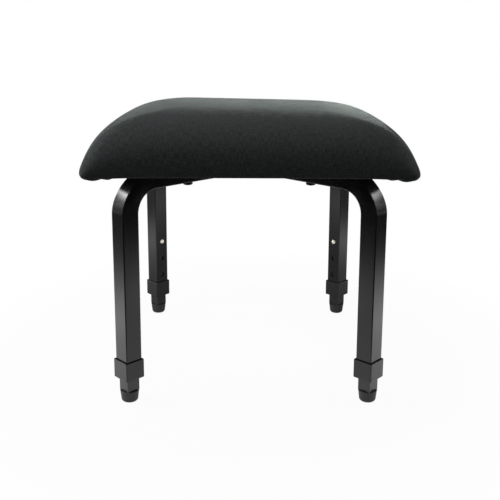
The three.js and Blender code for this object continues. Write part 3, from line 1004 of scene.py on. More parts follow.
@dataclass
class Leg(CornerParts):
    """One leg's moving parts: collar, inner leg, guide cap, rubber foot, snap button and spring."""

    tubes: Frame
    inner_half: float = 10.0 * MM
    inner_wall: float = 1.5 * MM
    inner_corner: float = 1.0 * MM
    inner_bore_corner: float = 0.3 * MM
    inner_edge: float = 0.3 * MM
    inner_bottom: float = 17.0 * MM
    inner_top: float = 169.1 * MM
    cap_height: float = 6.0 * MM
    cap_corner: float = 0.8 * MM
    cap_edge: float = 1.2 * MM
    cap_plug: float = 9.0 * MM
    plug_corner: float = 0.5 * MM
    collar_half: float = 15.0 * MM
    collar_corner: float = 1.2 * MM
    collar_bottom: float = 35.9 * MM
    collar_top: float = 63.1 * MM
    collar_floor: float = 3.5 * MM
    collar_bore_corner: float = 0.5 * MM
    collar_edge: float = 1.0 * MM
    rim_depth: float = 3.2 * MM
    rim_wall: float = 0.6 * MM
    rim_draft: float = 0.3 * MM
    rim_edge: float = 0.35 * MM
    small_edge: float = 0.2 * MM
    collar_points: int = 40
    tube_points: int = 24
    foot_height: float = 16.7 * MM
    foot_top: float = 13.4 * MM
    foot_toe: float = 11.8 * MM
    foot_edge: float = 4.2 * MM
    foot_trim: float = 0.4 * MM
    foot_lip: float = 0.9 * MM
    foot_lip_edge: float = 0.4 * MM
    foot_dish: float = 1.3 * MM
    foot_shares: tuple[float, ...] = (0.2, 0.4, 0.6, 0.8, 0.93)
    round_steps: int = 8
    neck_trim: float = 0.6 * MM
    plug_top: float = 34.7 * MM
    flutes: int = 26
    flute_depth: float = 0.28 * MM
    flute_rise: float = 2.0 * MM
    flute_fall: float = 1.0 * MM
    flute_stop: float = 2.2 * MM
    button_radius: float = 3.85 * MM
    button_proud: float = 3.4 * MM
    button_dome: float = 2.4 * MM
    flange_rim: float = 1.0 * MM
    flange: float = 1.0 * MM
    button_points: int = 40

    @property
    def plug_half(self) -> float:
        """Half the side of a plug that fits in the inner leg."""
        return self.inner_half - self.inner_wall - GAP

    @property
    def button_height(self) -> float:
        """The height on the leg of the hole that the button comes through."""
        return self.tubes.hole_heights[-1]

    def collar(self, bench: Bench) -> None:
        """The plastic collar: a thin upper rim round the tube, and a floor that guides the inner leg."""
        square = {"corner": self.collar_corner, "section": Section.SQUARE}
        bore = {"corner": self.collar_bore_corner, "section": Section.SQUARE}
        snug = self.tubes.half + GAP
        rim_inside = self.collar_half - self.rim_wall
        rim_low = self.collar_top - self.rim_depth
        bore_half = self.inner_half + GAP
        floor_top = self.collar_bottom + self.collar_floor
        profile = [
            Stop(bore_half, self.collar_bottom, 2.0 * self.small_edge, **bore),
            Stop(self.collar_half, self.collar_bottom, self.collar_edge, **square),
            Stop(self.collar_half, self.collar_top, self.rim_edge, **square),
            Stop(rim_inside, self.collar_top, self.small_edge, **square),
            Stop(rim_inside - self.rim_draft, rim_low, self.small_edge, **square),
            Stop(snug, rim_low - self.rim_wall, 0.0, **bore),
            Stop(snug, floor_top, 0.0, **bore),
            Stop(bore_half, floor_top, 0.0, **bore),
        ]
        shape = turned(profile, self.collar_points, wrapped=True)
        self.stand(bench, "collar", shape, COLLAR_PLASTIC, "leg_collar")

    def inner_leg(self, bench: Bench) -> None:
        """The inner square tube, with the hole that its button comes through."""
        square = {"corner": self.inner_corner, "section": Section.SQUARE}
        bore = {"corner": self.inner_bore_corner, "section": Section.SQUARE}
        inside = self.inner_half - self.inner_wall
        profile = [
            Stop(inside, self.inner_bottom, 0.0, **bore),
            Stop(self.inner_half, self.inner_bottom, self.inner_edge, **square),
            Stop(self.inner_half, self.inner_top, self.inner_edge, **square),
            Stop(inside, self.inner_top, 0.0, **bore),
        ]
        overrun = self.tubes.overrun
        hole = rod(self.button_radius + GAP, inside - overrun, self.inner_half + overrun)
        cutter = hole.placed(facing_in(self.button_height))
        name = self.keyed("inner_tube")
        mesh = bench.holed(name, turned(profile, self.tube_points, wrapped=True), [cutter])
        mesh.transform(self.place)
        bench.fit(name, mesh, LEG_PAINT, self.keyed("leg"), [self.keyed("inner_leg")])

    def guide_cap(self, bench: Bench) -> None:
        """The plastic cap that keeps the inner leg's top from rattling in the tube."""
        cap_half = self.tubes.half - self.tubes.wall - GAP
        cap_bottom = self.inner_top + GAP
        cap_top = cap_bottom + self.cap_height
        plug_bottom = self.inner_top - self.cap_plug
        square = {"corner": self.cap_corner, "section": Section.SQUARE}
        plug = {"corner": self.plug_corner, "section": Section.SQUARE}
        profile = [
            Stop(0.0, plug_bottom, 0.0, **plug),
            Stop(self.plug_half, plug_bottom, self.cap_corner, **plug),
            Stop(self.plug_half, cap_bottom, 0.0, **plug),
            Stop(cap_half, cap_bottom, self.inner_edge, **square),
            Stop(cap_half, cap_top, self.cap_edge, **square),
            Stop(0.0, cap_top, 0.0, **square),
        ]
        shape = turned(profile, self.tube_points)
        self.stand(bench, "guide_cap", shape, GUIDE_PLASTIC, "inner_leg_guide", self.keyed("leg"))

    def foot(self, bench: Bench) -> None:
        """The rubber foot: a fluted tapered cup with a dished top, a round toe and a plug."""
        square = {"corner": self.inner_corner, "section": Section.SQUARE}
        toe_height = self.foot_edge - self.foot_trim
        dish = self.foot_height - self.foot_dish
        neck = min(self.inner_half * math.sqrt(2.0) - self.neck_trim, self.foot_top - self.foot_dish)
        toe = Stop(self.foot_toe - self.foot_edge, toe_height)
        profile = [Stop(0.0, -self.foot_trim), Stop(toe.reach, -self.foot_trim)]
        angles = np.linspace(-QUARTER_TURN, 0.0, self.round_steps + 1)[1:]
        profile += arc(toe, self.foot_edge, self.foot_edge, angles)
        for share in self.foot_shares:
            reach = self.foot_toe + (self.foot_top - self.foot_toe) * share
            profile.append(Stop(reach, toe_height + (self.foot_height - toe_height) * share))
        profile += [
            Stop(self.foot_top, self.foot_height, self.foot_lip_edge),
            Stop(self.foot_top - self.foot_lip, self.foot_height, self.inner_edge),
            Stop(neck, dish),
            Stop(self.plug_half, dish, 0.0, **square),
            Stop(self.plug_half, self.plug_top, self.plug_corner, **square),
            Stop(0.0, self.plug_top, 0.0, **square),
        ]
        shape = turned(profile, 4 * self.flutes)
        self.flute(shape.points, toe_height)
        settled = shape.placed(self.place)
        settled.points[:, 2] = np.maximum(settled.points[:, 2], 0.0)
        name = self.keyed("foot")
        mesh = bench.mesh(name, settled)
        bench.fit(name, mesh, RUBBER, self.keyed("leg"), [self.keyed("rubber_foot")])

    def flute(self, points: np.ndarray, toe_height: float) -> None:
        """Presses the foot's upright flutes into its points, in place."""
        radius = np.hypot(points[:, 0], points[:, 1])
        angle = np.arctan2(points[:, 1], points[:, 0])
        rise = np.clip((points[:, 2] - toe_height) / self.flute_rise, 0.0, 1.0)
        top = self.foot_height - self.flute_stop
        fall = np.clip((top - points[:, 2]) / self.flute_fall, 0.0, 1.0)
        groove = self.flute_depth * (0.5 + 0.5 * np.cos(self.flutes * angle)) * rise * fall
        points[:, :2] *= (1.0 - groove / np.maximum(radius, MM))[:, None]

    def button(self, bench: Bench) -> None:
        """The nickel snap button: a domed pin with a flange behind the tube's wall."""
        rim = self.button_radius + self.flange_rim
        dome = Stop(0.0, self.tubes.half + self.button_proud - self.button_dome)
        profile = [
            Stop(0.0, self.plug_half - self.flange),
            Stop(rim, self.plug_half - self.flange, self.inner_edge),
            Stop(rim, self.plug_half, self.inner_edge),
            Stop(self.button_radius, self.plug_half),
        ]
        angles = np.linspace(0.0, QUARTER_TURN, self.round_steps + 1)
        profile += arc(dome, self.button_radius, self.button_dome, angles)
        shape = turned(profile, self.button_points).placed(facing_in(self.button_height))
        self.stand(bench, "snap_pin", shape, NICKEL, "snap_button", self.keyed("button"))

    def spring(self, bench: Bench) -> None:
        """Dresses the V spring inside the inner leg."""
        bench.dress(self.keyed("snap_spring"), SPRING_STEEL)

    def build(self, bench: Bench) -> None:
        """Makes every part of the leg."""
        for make in (self.collar, self.inner_leg, self.guide_cap, self.foot, self.button, self.spring):
            make(bench)


@dataclass
class SeatBolt(CornerParts):
    """A button-head bolt with its washer below the tube, and its tee nut in the board."""

    head_top: float = 297.3 * MM
    head_height: float = 3.8 * MM
    head_radius: float = 6.8 * MM
    head_rim: float = 1.9 * MM
    socket: float = 1.99 * MM
    socket_depth: float = 2.0 * MM
    socket_chamfer: float = 0.3 * MM
    socket_mouth: float = 0.7 * MM
    dome_start: float = math.radians(56.0)
    dome_steps: int = 7
    edge: float = 0.3 * MM
    fine_edge: float = 0.15 * MM
    washer_edge: float = 0.4 * MM
    shank: float = 3.0 * MM
    length: float = 40.0 * MM
    thread_pitch: float = 1.0 * MM
    thread_depth: float = 0.45 * MM
    threaded: int = 18
    washer_top: float = 299.1 * MM
    washer: float = 1.5 * MM
    washer_radius: float = 7.0 * MM
    washer_top_edge: float = 0.2 * MM
    board_top: float = 339.7 * MM
    nut_flange: float = 9.5 * MM
    nut_sheet: float = 1.2 * MM
    nut_wall: float = 0.7 * MM
    nut_length: float = 9.0 * MM
    nut_edge: float = 0.5 * MM
    bolt_points: int = 36

    def bolt(self, bench: Bench) -> None:
        """The bolt: a domed head with a hexagon socket, and a ridged shank."""
        bottom = self.head_top - self.head_height
        socket_top = bottom + self.socket_depth
        hexagon = {"section": Section.HEXAGON}
        profile = [
            Stop(0.0, socket_top, 0.0, **hexagon),
            Stop(self.socket, socket_top, 0.0, **hexagon),
            Stop(self.socket, bottom + self.socket_chamfer, 0.0, **hexagon),
            Stop(self.socket + self.socket_mouth, bottom),
        ]
        rim = Stop(0.0, self.head_top - self.head_rim)
        angles = np.linspace(self.dome_start, 0.0, self.dome_steps + 1)
        profile += arc(rim, self.head_radius, self.head_rim - self.head_height, angles)
        profile += [Stop(self.head_radius, self.head_top, self.edge), Stop(self.shank, self.head_top)]
        end = self.head_top + self.length
        root = self.shank - self.thread_depth
        for index in range(self.threaded):
            crest = end + (index - self.threaded) * self.thread_pitch
            profile += [Stop(self.shank, crest), Stop(root, crest + 0.5 * self.thread_pitch)]
        profile += [Stop(self.shank, end), Stop(0.0, end)]
        self.stand(bench, "bolt", turned(profile, self.bolt_points), BLACK_OXIDE, "seat_bolt")

    def ring(self, bench: Bench) -> None:
        """The washer between the bolt's head and the tube."""
        bore = self.shank + GAP
        low = self.washer_top - self.washer
        profile = [
            Stop(bore, low, self.fine_edge),
            Stop(self.washer_radius, low, self.washer_edge),
            Stop(self.washer_radius, self.washer_top, self.washer_top_edge),
            Stop(bore, self.washer_top, self.fine_edge),
        ]
        self.stand(bench, "washer", turned(profile, wrapped=True), BLACK_OXIDE, "seat_washer")

    def tee_nut(self, bench: Bench) -> None:
        """The tee nut that the bolt screws into, flush with the board's top."""
        bore = self.shank + GAP
        barrel = bore + self.nut_wall
        low = self.board_top - self.nut_length
        flange = self.board_top - self.nut_sheet
        profile = [
            Stop(bore, low, self.fine_edge),
            Stop(barrel, low, self.fine_edge),
            Stop(barrel, flange, self.edge),
            Stop(self.nut_flange, flange, self.washer_top_edge),
            Stop(self.nut_flange, self.board_top, self.nut_edge),
            Stop(bore, self.board_top, self.edge),
        ]
        self.stand(bench, "tee_nut_plate", turned(profile, wrapped=True), ZINC, "tee_nut")

    def build(self, bench: Bench) -> None:
        """Makes the bolt, the washer and the tee nut."""
        self.bolt(bench)
        self.ring(bench)
        self.tee_nut(bench)


# Seat


@dataclass(frozen=True)
class Fold:
    """A gathered fold under a corner: how far from the corner, how wide and how deep."""

    away: float
    width: float
    depth: float


@dataclass(frozen=True)
class FoldKind:
    """What the folds of one kind measure, from the least to the most, in millimetres.

    The way is 1 where the cloth hangs out and -1 where it goes in.
    """

    away: tuple[float, float]
    width: tuple[float, float]
    depth: tuple[float, float]
    way: int = 1

    def drawn(self, draw: np.random.Generator) -> Fold:
        """One fold of this kind."""
        away = draw.uniform(*self.away) * MM
        width = draw.uniform(*self.width) * MM
        return Fold(away, width, self.way * draw.uniform(*self.depth) * MM)


@dataclass(frozen=True)
class Rings:
    """The rings of a skin's grid, from the crown's middle over the edge to the hem.

    Each array has a value for every ring: how far it lies inside the outline, its angle round the
    edge, its share of the hem, half its side, how far the hem has come to rest on its plane, and
    how much of a fold shows there.
    """

    inset: np.ndarray
    roll: np.ndarray
    hem: np.ndarray
    half: np.ndarray
    settled: np.ndarray
    gather: np.ndarray


@dataclass
class SeatPad:
    """The padded seat: its cloth cover, its foam, its board, its dust cloth and the staples."""

    side: float = 424.5 * MM
    corner: float = 15.0 * MM
    draw_in: float = 1.5 * MM
    edge_height: float = 331.5 * MM
    crown_rise: float = 72.0 * MM
    crown_reach: float = 176.0 * MM
    longer_right: float = -0.113
    crown_tilt: float = 4.0 * MM
    crown_bow: float = 14.0 * MM
    crown_level: float = 12.0 * MM
    corner_droop: float = 58.7 * MM
    corner_sag: float = 4.0 * MM
    roll_width: float = 8.7 * MM
    roll_height: float = 6.7 * MM
    cloth: float = 1.2 * MM
    foam_depth: float = 2.6 * MM
    foam_roll_rings: int = 3
    foam_lip: float = 1.0 * MM
    board_cut: float = 3.6 * MM
    hem_height: float = 326.2 * MM
    hem_half: float = 177.55 * MM
    hem_settle: float = 8.0 * MM
    hem_calm: float = 0.75
    board_half: float = 203.55 * MM
    board_low: float = 327.7 * MM
    board_high: float = 339.7 * MM
    crown_power: float = 3.857
    flat_power: float = 2.495
    droop_power: float = 6.87
    sag_power: float = 8.0
    slope_power: float = 2.5
    crowd_power: int = 4
    middle_rings: int = 16
    slope_rings: int = 30
    roll_rings: int = 10
    hem_rings: int = 8
    corner_crowding: float = 0.36
    fold_kinds: tuple[FoldKind, ...] = (
        FoldKind((9.0, 13.0), (6.0, 8.0), (1.2, 1.8)),
        FoldKind((21.0, 23.5), (1.4, 2.0), (0.9, 1.4), way=-1),
        FoldKind((27.0, 32.0), (2.2, 3.2), (0.9, 1.4)),
    )
    folds: dict[tuple[int, int, str], list[Fold]] = field(init=False)
    dust_half: float = 187.55 * MM
    dust_height: float = 325.1 * MM
    dust_lift: float = 0.2 * MM
    dust_sheet: float = 0.4 * MM
    dust_sag: float = 2.2 * MM
    dust_cells: int = 64
    tube_room: float = 16.0 * MM
    tube_span: float = 60.0 * MM
    hem_span: float = 50.0 * MM
    ripple: float = 0.12 * MM
    ripple_rate: float = 190.0
    wander: float = 2.0
    wander_rate: float = 60.0
    staples_a_side: int = 9
    wire_half: float = 0.3 * MM
    wire_corner: float = 0.12 * MM
    wire_points: int = 8
    staple_half: float = 5.0 * MM
    staple_leg: float = 6.0 * MM
    staple_bend: float = 0.7 * MM
    bend_share: float = 0.3
    staple_inset: float = 7.0 * MM
    staple_sink: float = 0.1 * MM
    staple_row: float = 0.93
    stray_along: float = 3.0 * MM
    stray_across: float = 1.5 * MM
    stray_turn: float = 0.2
    seed: int = 7

    def __post_init__(self) -> None:
        """Draws the folds under each corner, once for all."""
        draw = np.random.default_rng(self.seed)
        self.folds = {}
        for place in product((-1, 1), (-1, 1), ("x", "y")):
            self.folds[place] = [kind.drawn(draw) for kind in self.fold_kinds]

    @property
    def edge_ring(self) -> int:
        """The number of the ring at the seat's outer edge."""
        return self.middle_rings + self.slope_rings

    def grid(self, rings: int) -> tuple[np.ndarray, np.ndarray, np.ndarray]:
        """Where each point of a square grid lies on its ring.

        Args:
            rings: how many rings go round the middle point.

        Returns:
            Each point's ring number, and its place along the ring as X and Y shares from -1 to 1.
        """
        line = np.arange(-rings, rings + 1)
        column, row = np.meshgrid(line, line, indexing="ij")
        ring = np.maximum(np.abs(column), np.abs(row))
        safe = np.maximum(ring, 1)
        crowd = self.corner_crowding * (ring / rings) ** 2

        def spread(share: np.ndarray) -> np.ndarray:
            return share * (1.0 + crowd * (1.0 - share**2))

        return ring, spread(column / safe), spread(row / safe)

    def outline(
        self,
        share_x: np.ndarray,
        share_y: np.ndarray,
        half: np.ndarray,
        corner: np.ndarray,
        draw_in: np.ndarray,
    ) -> tuple[np.ndarray, np.ndarray]:
        """Points of a square with round corners, from their shares along its sides.

        Args:
            share_x: the X shares from -1 to 1; one of the two shares is -1 or 1.
            share_y: the Y shares.
            half: half the square's side at each point.
            corner: its corner radius.
            draw_in: how far its sides come in at their middles.

        Returns:
            The X and Y places.
        """
        straight = half - corner
        flat_share = straight / (straight + corner * math.pi / 4.0)
        on_x = np.abs(share_x) >= np.abs(share_y)
        minor = np.where(on_x, share_y, share_x)
        size = np.abs(minor)
        along = np.minimum(size / flat_share, 1.0)
        angle = np.maximum(size - flat_share, 0.0) / (1.0 - flat_share) * math.pi / 4.0
        lengthwise = np.sign(minor) * (straight * along + corner * np.sin(angle))
        outwards = straight + corner * np.cos(angle) - draw_in * (1.0 - along**2)
        outwards = outwards * np.sign(np.where(on_x, share_x, share_y))
        return np.where(on_x, outwards, lengthwise), np.where(on_x, lengthwise, outwards)

    def cornerness(self, x: np.ndarray, y: np.ndarray, half: float) -> np.ndarray:
        """How near a point is to a corner: 0 on the middle lines and 1 at the corner."""
        return np.abs(x * y) / half**2

    def crown(self, x: np.ndarray, y: np.ndarray, inset: np.ndarray, depth: float) -> np.ndarray:
        """The height of the padded surface, or of a skin inside it.

        Args:
            x: the X places.
            y: the Y places.
            inset: how far each point lies inside the outline.
            depth: how far the skin lies inside the cover's face.

        Returns:
            The heights.
        """
        half = 0.5 * self.side - depth
        reach = (self.crown_reach - depth) * (1.0 + self.longer_right * x / half)
        part = 1.0 - np.minimum(inset / reach, 1.0)
        lift = (1.0 - part**self.crown_power) ** (1.0 / self.flat_power)
        near = self.cornerness(x, y, half)
        droop = self.corner_droop * near**self.droop_power
        sag = self.corner_sag * near**self.sag_power * (1.0 - lift)
        away = np.maximum(np.abs(y) - self.crown_level, 0.0) / (half - self.crown_level)
        fall = self.crown_tilt * x / half + self.crown_bow * away**2
        return self.edge_height + lift * (self.crown_rise - depth - droop - fall) - sag

    def fold_depth(self, x: np.ndarray, y: np.ndarray) -> np.ndarray:
        """How far the gathered cloth hangs below its line at each place near the edge."""
        depth = np.zeros_like(x)
        half = 0.5 * self.side
        for (way_x, way_y, face), folds in self.folds.items():
            facing = np.abs(x) > np.abs(y) if face == "x" else np.abs(x) <= np.abs(y)
            here = facing & (x * way_x > 0) & (y * way_y > 0)
            away = half - np.abs(y if face == "x" else x)
            for fold in folds:
                bulge = fold.depth * np.exp(-(((away - fold.away) / fold.width) ** 2))
                depth += np.where(here, bulge, 0.0)
        return depth

    def rings(self, depth: float) -> Rings:
        """Lays out the rings of the skin that lies at a depth inside the cover's face."""
        count = self.edge_ring + self.roll_rings + self.hem_rings
        half = 0.5 * self.side - depth
        reach = self.crown_reach - depth
        middle = np.arange(self.middle_rings) / self.middle_rings
        slope = 1.0 - np.arange(self.slope_rings + 1) / self.slope_rings
        inset = np.zeros(count + 1)
        inset[: self.middle_rings] = half - (half - reach) * middle
        inset[self.middle_rings : self.edge_ring + 1] = reach * slope**self.slope_power
        inset = np.minimum(inset, half - WELD_DISTANCE)
        past = np.arange(count + 1) - self.edge_ring
        roll = np.clip(past / self.roll_rings, 0.0, 1.0) * QUARTER_TURN
        hem = np.clip((past - self.roll_rings) / self.hem_rings, 0.0, 1.0)
        roll_half = half - (self.roll_width - depth) * (1.0 - np.cos(roll))
        hem_half = roll_half + (self.hem_half - roll_half) * hem
        settle = np.clip(hem * (roll_half[-1] - self.hem_half) / self.hem_settle, 0.0, 1.0)
        return Rings(
            inset=inset,
            roll=roll,
            hem=hem,
            half=np.where(hem > 0, hem_half, roll_half - inset),
            settled=settle**2 * (3.0 - 2.0 * settle),
            gather=np.sin(roll) ** 2 * (1.0 - self.hem_calm * hem),
        )

    def skin(self, depth: float) -> tuple[np.ndarray, np.ndarray]:
        """One face of the cloth, from the crown's middle over the edge to the hem.

        Args:
            depth: how far the skin lies inside the cover's face.

        Returns:
            The points as a grid, and the place of each in the flat cloth.
        """
        rings = self.rings(depth)
        ring, share_x, share_y = self.grid(len(rings.half) - 1)
        half = 0.5 * self.side - depth
        scale = rings.half / half
        corner = (self.corner - depth) * scale
        bow = self.draw_in * scale * (1.0 - rings.hem)
        x, y = self.outline(share_x, share_y, rings.half[ring], corner[ring], bow[ring])
        over = self.crown(x, y, rings.inset[ring], depth)
        spread = scale[ring].clip(LEAST)
        wide_x, wide_y = x / spread, y / spread
        sag = self.corner_sag * self.cornerness(wide_x, wide_y, half) ** self.sag_power
        under = self.edge_height - (self.roll_height - depth) * np.sin(rings.roll[ring]) - sag
        under = under + rings.settled[ring] * (self.hem_height + depth - under)
        z = np.where(ring > self.edge_ring, under, over)
        z -= self.fold_depth(wide_x, wide_y) * rings.gather[ring]
        points = np.stack([x, y, z], axis=-1)
        stretch = self.run_length(points)[ring] / np.maximum(rings.half[ring], WELD_DISTANCE)
        return points, self.flattened(points, stretch, share_x, share_y)

    def run_length(self, points: np.ndarray) -> np.ndarray:
        """How much cloth lies between the middle and each ring, along the line to the front."""
        middle = len(points) // 2
        steps = np.diff(points[middle, middle::-1, 1:], axis=0)
        return np.concatenate([[0.0], np.cumsum(np.hypot(*steps.T))])

    def flattened(
        self, points: np.ndarray, stretch: np.ndarray, share_x: np.ndarray, share_y: np.ndarray
    ) -> np.ndarray:
        """Where each point lies in the flat cloth, so that the threads keep their pitch.

        Args:
            points: the skin's points.
            stretch: at each point, the cloth's run to its ring over half the ring's side.
            share_x: the X shares along the ring.
            share_y: the Y shares.

        Returns:
            The flat places, with zero heights.
        """
        major = np.maximum(np.abs(share_x), np.abs(share_y)).clip(LEAST)
        flat = np.zeros_like(points)
        for axis, share in enumerate((share_x, share_y)):
            crowd = np.abs(share / major) ** self.crowd_power
            flat[..., axis] = points[..., axis] * (1.0 + (stretch - 1.0) * crowd)
        return flat

    def sandwich(self, outer: np.ndarray, inner: np.ndarray) -> Shape:
        """A closed sheet between two square grids of points."""
        side = len(outer)
        count = side * side
        grid = np.arange(count).reshape(side, side)
        corners = [grid[:-1, :-1], grid[1:, :-1], grid[1:, 1:], grid[:-1, 1:]]
        upper = np.stack(corners, axis=-1).reshape(-1, 4)
        rim = np.concatenate([grid[:, 0], grid[-1, 1:], grid[-2::-1, -1], grid[0, -2:0:-1]])
        ahead = np.roll(rim, -1)
        edge = np.column_stack([ahead, rim, rim + count, ahead + count])
        faces = np.vstack([upper, upper[:, ::-1] + count, edge])
        points = np.vstack([outer.reshape(-1, 3), inner.reshape(-1, 3)])
        return Shape(points, [tuple(face) for face in faces.tolist()])

    def cover(self, bench: Bench) -> None:
        """The cloth cover, pulled over the pad and gathered under its corners."""
        outer, flat = self.skin(0.0)
        inner, _ = self.skin(self.cloth)
        mesh = bench.mesh("cover_cloth", self.sandwich(outer, inner), joined=False)
        place = mesh.attributes.new(CLOTH_PLACE, "FLOAT_VECTOR", "POINT")
        both_faces = np.tile(flat.reshape(-1), 2).astype(np.float32)
        place.data.foreach_set("vector", both_faces)
        piece = bench.fit("cover_cloth", mesh, CLOTH, "root", ["seat_cover"], crisp=False)

    def foam(self, bench: Bench) -> None:
        """The foam block that the cover holds down."""
        outer, _ = self.skin(self.foam_depth)
        cut = len(outer) // 2 - self.edge_ring - self.foam_roll_rings
        top = outer[cut:-cut, cut:-cut].copy()
        low = top.copy()
        limit = self.board_half + GAP
        low[..., :2] = np.clip(low[..., :2], -limit, limit)
        away = np.abs(low[..., :2])
        on_side = away.max(axis=-1) >= limit - WELD_DISTANCE
        edge = on_side | (away.sum(axis=-1) > 2.0 * limit - self.board_cut)
        lip = self.board_low + self.foam_lip
        low[..., 2] = np.where(edge, lip, self.board_high + GAP)
        top[..., 2] = np.maximum(top[..., 2], np.where(edge, lip, self.board_high + 2 * GAP))
        mesh = bench.mesh("foam_pad", self.sandwich(top, low), joined=False)
        piece = bench.fit("foam_pad", mesh, FOAM, "root", ["seat_foam"])

    def dust_cloth(self, bench: Bench) -> None:
        """The thin cloth stapled over the underside, which hangs a little between the tubes."""
        line = np.linspace(-self.dust_half, self.dust_half, self.dust_cells + 1)
        x, y = np.meshgrid(line, line, indexing="ij")
        tube = np.minimum(np.abs(x - y), np.abs(x + y)) / math.sqrt(2.0)
        inside = self.dust_half - np.maximum(np.abs(x), np.abs(y))
        free = np.clip((tube - self.tube_room) / self.tube_span, 0.0, 1.0)
        edge = np.clip(inside / self.hem_span, 0.0, 1.0)
        wander = self.wander * np.sin(y * self.wander_rate)
        ripple = self.ripple * np.sin(x * self.ripple_rate + wander) * edge
        hang = np.sin(QUARTER_TURN * free) * np.sin(QUARTER_TURN * edge)
        drop = self.dust_sag * hang - ripple * free
        low = np.stack([x, y, self.dust_height + self.dust_lift - drop], axis=-1)
        high = low + np.array([0.0, 0.0, self.dust_sheet])
        mesh = bench.mesh("dust_cloth", self.sandwich(high, low), joined=False)
        piece = bench.fit("dust_cloth", mesh, FELT, "root", ["dust_cover"])

    def staple(self) -> Shape:
        """One wire staple along X, its crown at the origin and its legs upwards."""
        wire = ring_points(Section.SQUARE, self.wire_half, self.wire_corner, self.wire_points)
        half, bend = self.staple_half, self.staple_bend
        rounded = self.bend_share * bend
        path = [
            Station(-half, self.staple_leg, 0.0, -1.0),
            Station(-half, bend, 0.0, -1.0),
            Station(-half + rounded, rounded, 1.0, -1.0),
            Station(-half + bend, 0.0, 1.0, 0.0),
        ]
        path += [Station(-item.x, item.z, item.along_x, -item.along_z) for item in reversed(path)]
        return swept(wire, path)

    def staples(self, bench: Bench) -> None:
        """The staples round the dust cloth."""
        draw = np.random.default_rng(self.seed + 1)
        one = self.staple()
        line = self.dust_half - self.staple_inset
        height = self.dust_height - self.staple_sink
        shape = None
        for quarter, index in product(range(4), range(self.staples_a_side)):
            share = self.staple_row * (2.0 * (index + 0.5) / self.staples_a_side - 1.0)
            along = line * share + draw.uniform(-1.0, 1.0) * self.stray_along
            across = line + draw.uniform(-1.0, 1.0) * self.stray_across
            turn = Matrix.Rotation(draw.uniform(-1.0, 1.0) * self.stray_turn, 4, "Z")
            place = spin(quarter * QUARTER_TURN) @ Matrix.Translation((along, across, height))
            made = one.placed(place @ turn)
            shape = made if shape is None else shape.plus(made)
        bench.fit("dust_cloth_staples", bench.mesh("dust_cloth_staples", shape), ZINC, "root")

    def build(self, bench: Bench) -> None:
        """Makes the seat's pieces and dresses its board."""
        self.cover(bench)
        self.foam(bench)
        bench.dress("seat_board", PLYWOOD)
        self.dust_cloth(bench)
        self.staples(bench)


# Stage


@dataclass(frozen=True)
class Lamp:
    """A soft rectangular lamp: its place, what it faces and its size in metres, and its watts.

    A lamp that isn't mirrored shows in no reflection.
    """

    name: str
    place: Point
    aim: Point
    size: tuple[float, float]
    watts: float
    mirrored: bool = True

    def hang(self) -> None:
        """Adds the lamp to the scene."""
        data = bpy.data.lights.new(self.name, "AREA")
        data.shape = "RECTANGLE"
        data.size, data.size_y = self.size
        data.energy = self.watts
        lamp = bpy.data.objects.new(self.name, data)
        lamp.visible_camera = False
        lamp.visible_glossy = self.mirrored
        way = Vector(self.aim) - Vector(self.place)
        turn = way.to_track_quat("-Z", "Y").to_matrix().to_4x4()
        lamp.matrix_world = Matrix.Translation(self.place) @ turn
        bpy.context.scene.collection.objects.link(lamp)


LAMPS = (
    Lamp("overhead", (0.0, 0.45, 2.1), (0.0, 0.0, 0.3), (1.6, 1.2), 3.0),
    Lamp("back", (0.0, 0.8, 0.78), (0.0, 0.0, 0.4), (1.2, 0.24), 0.3),
    Lamp("front", (0.0, -1.7, 1.5), (0.0, 0.0, 0.25), (1.2, 0.8), 2.5),
    Lamp("left", (-1.4, 0.5, 1.05), (-0.1, 0.0, 0.28), (0.5, 0.9), 13.5),
    Lamp("left_near", (-0.7, -0.12, 0.71), (-0.2, 0.0, 0.35), (0.3, 0.3), 8.0, mirrored=False),
    Lamp("left_low", (-1.6, 0.42, 0.52), (-0.1, 0.0, 0.28), (0.5, 0.3), 1.5),
    Lamp("left_base", (-1.6, 0.42, 0.25), (-0.1, 0.0, 0.28), (0.5, 0.22), 0.3),
    Lamp("right_low", (1.6, 0.42, 0.52), (0.1, 0.0, 0.28), (0.5, 0.3), 0.8),
    Lamp("right_base", (1.6, 0.42, 0.25), (0.1, 0.0, 0.28), (0.5, 0.22), 0.16),
    Lamp("right", (1.4, 0.5, 1.05), (0.1, 0.0, 0.28), (0.5, 0.9), 6.0),
    Lamp("right_near", (0.7, -0.12, 0.71), (0.2, 0.0, 0.35), (0.3, 0.3), 1.8, mirrored=False),
    Lamp("under", (0.0, -0.1, 0.13), (0.0, 0.16, 0.15), (0.1, 0.1), 0.5, mirrored=False),
)


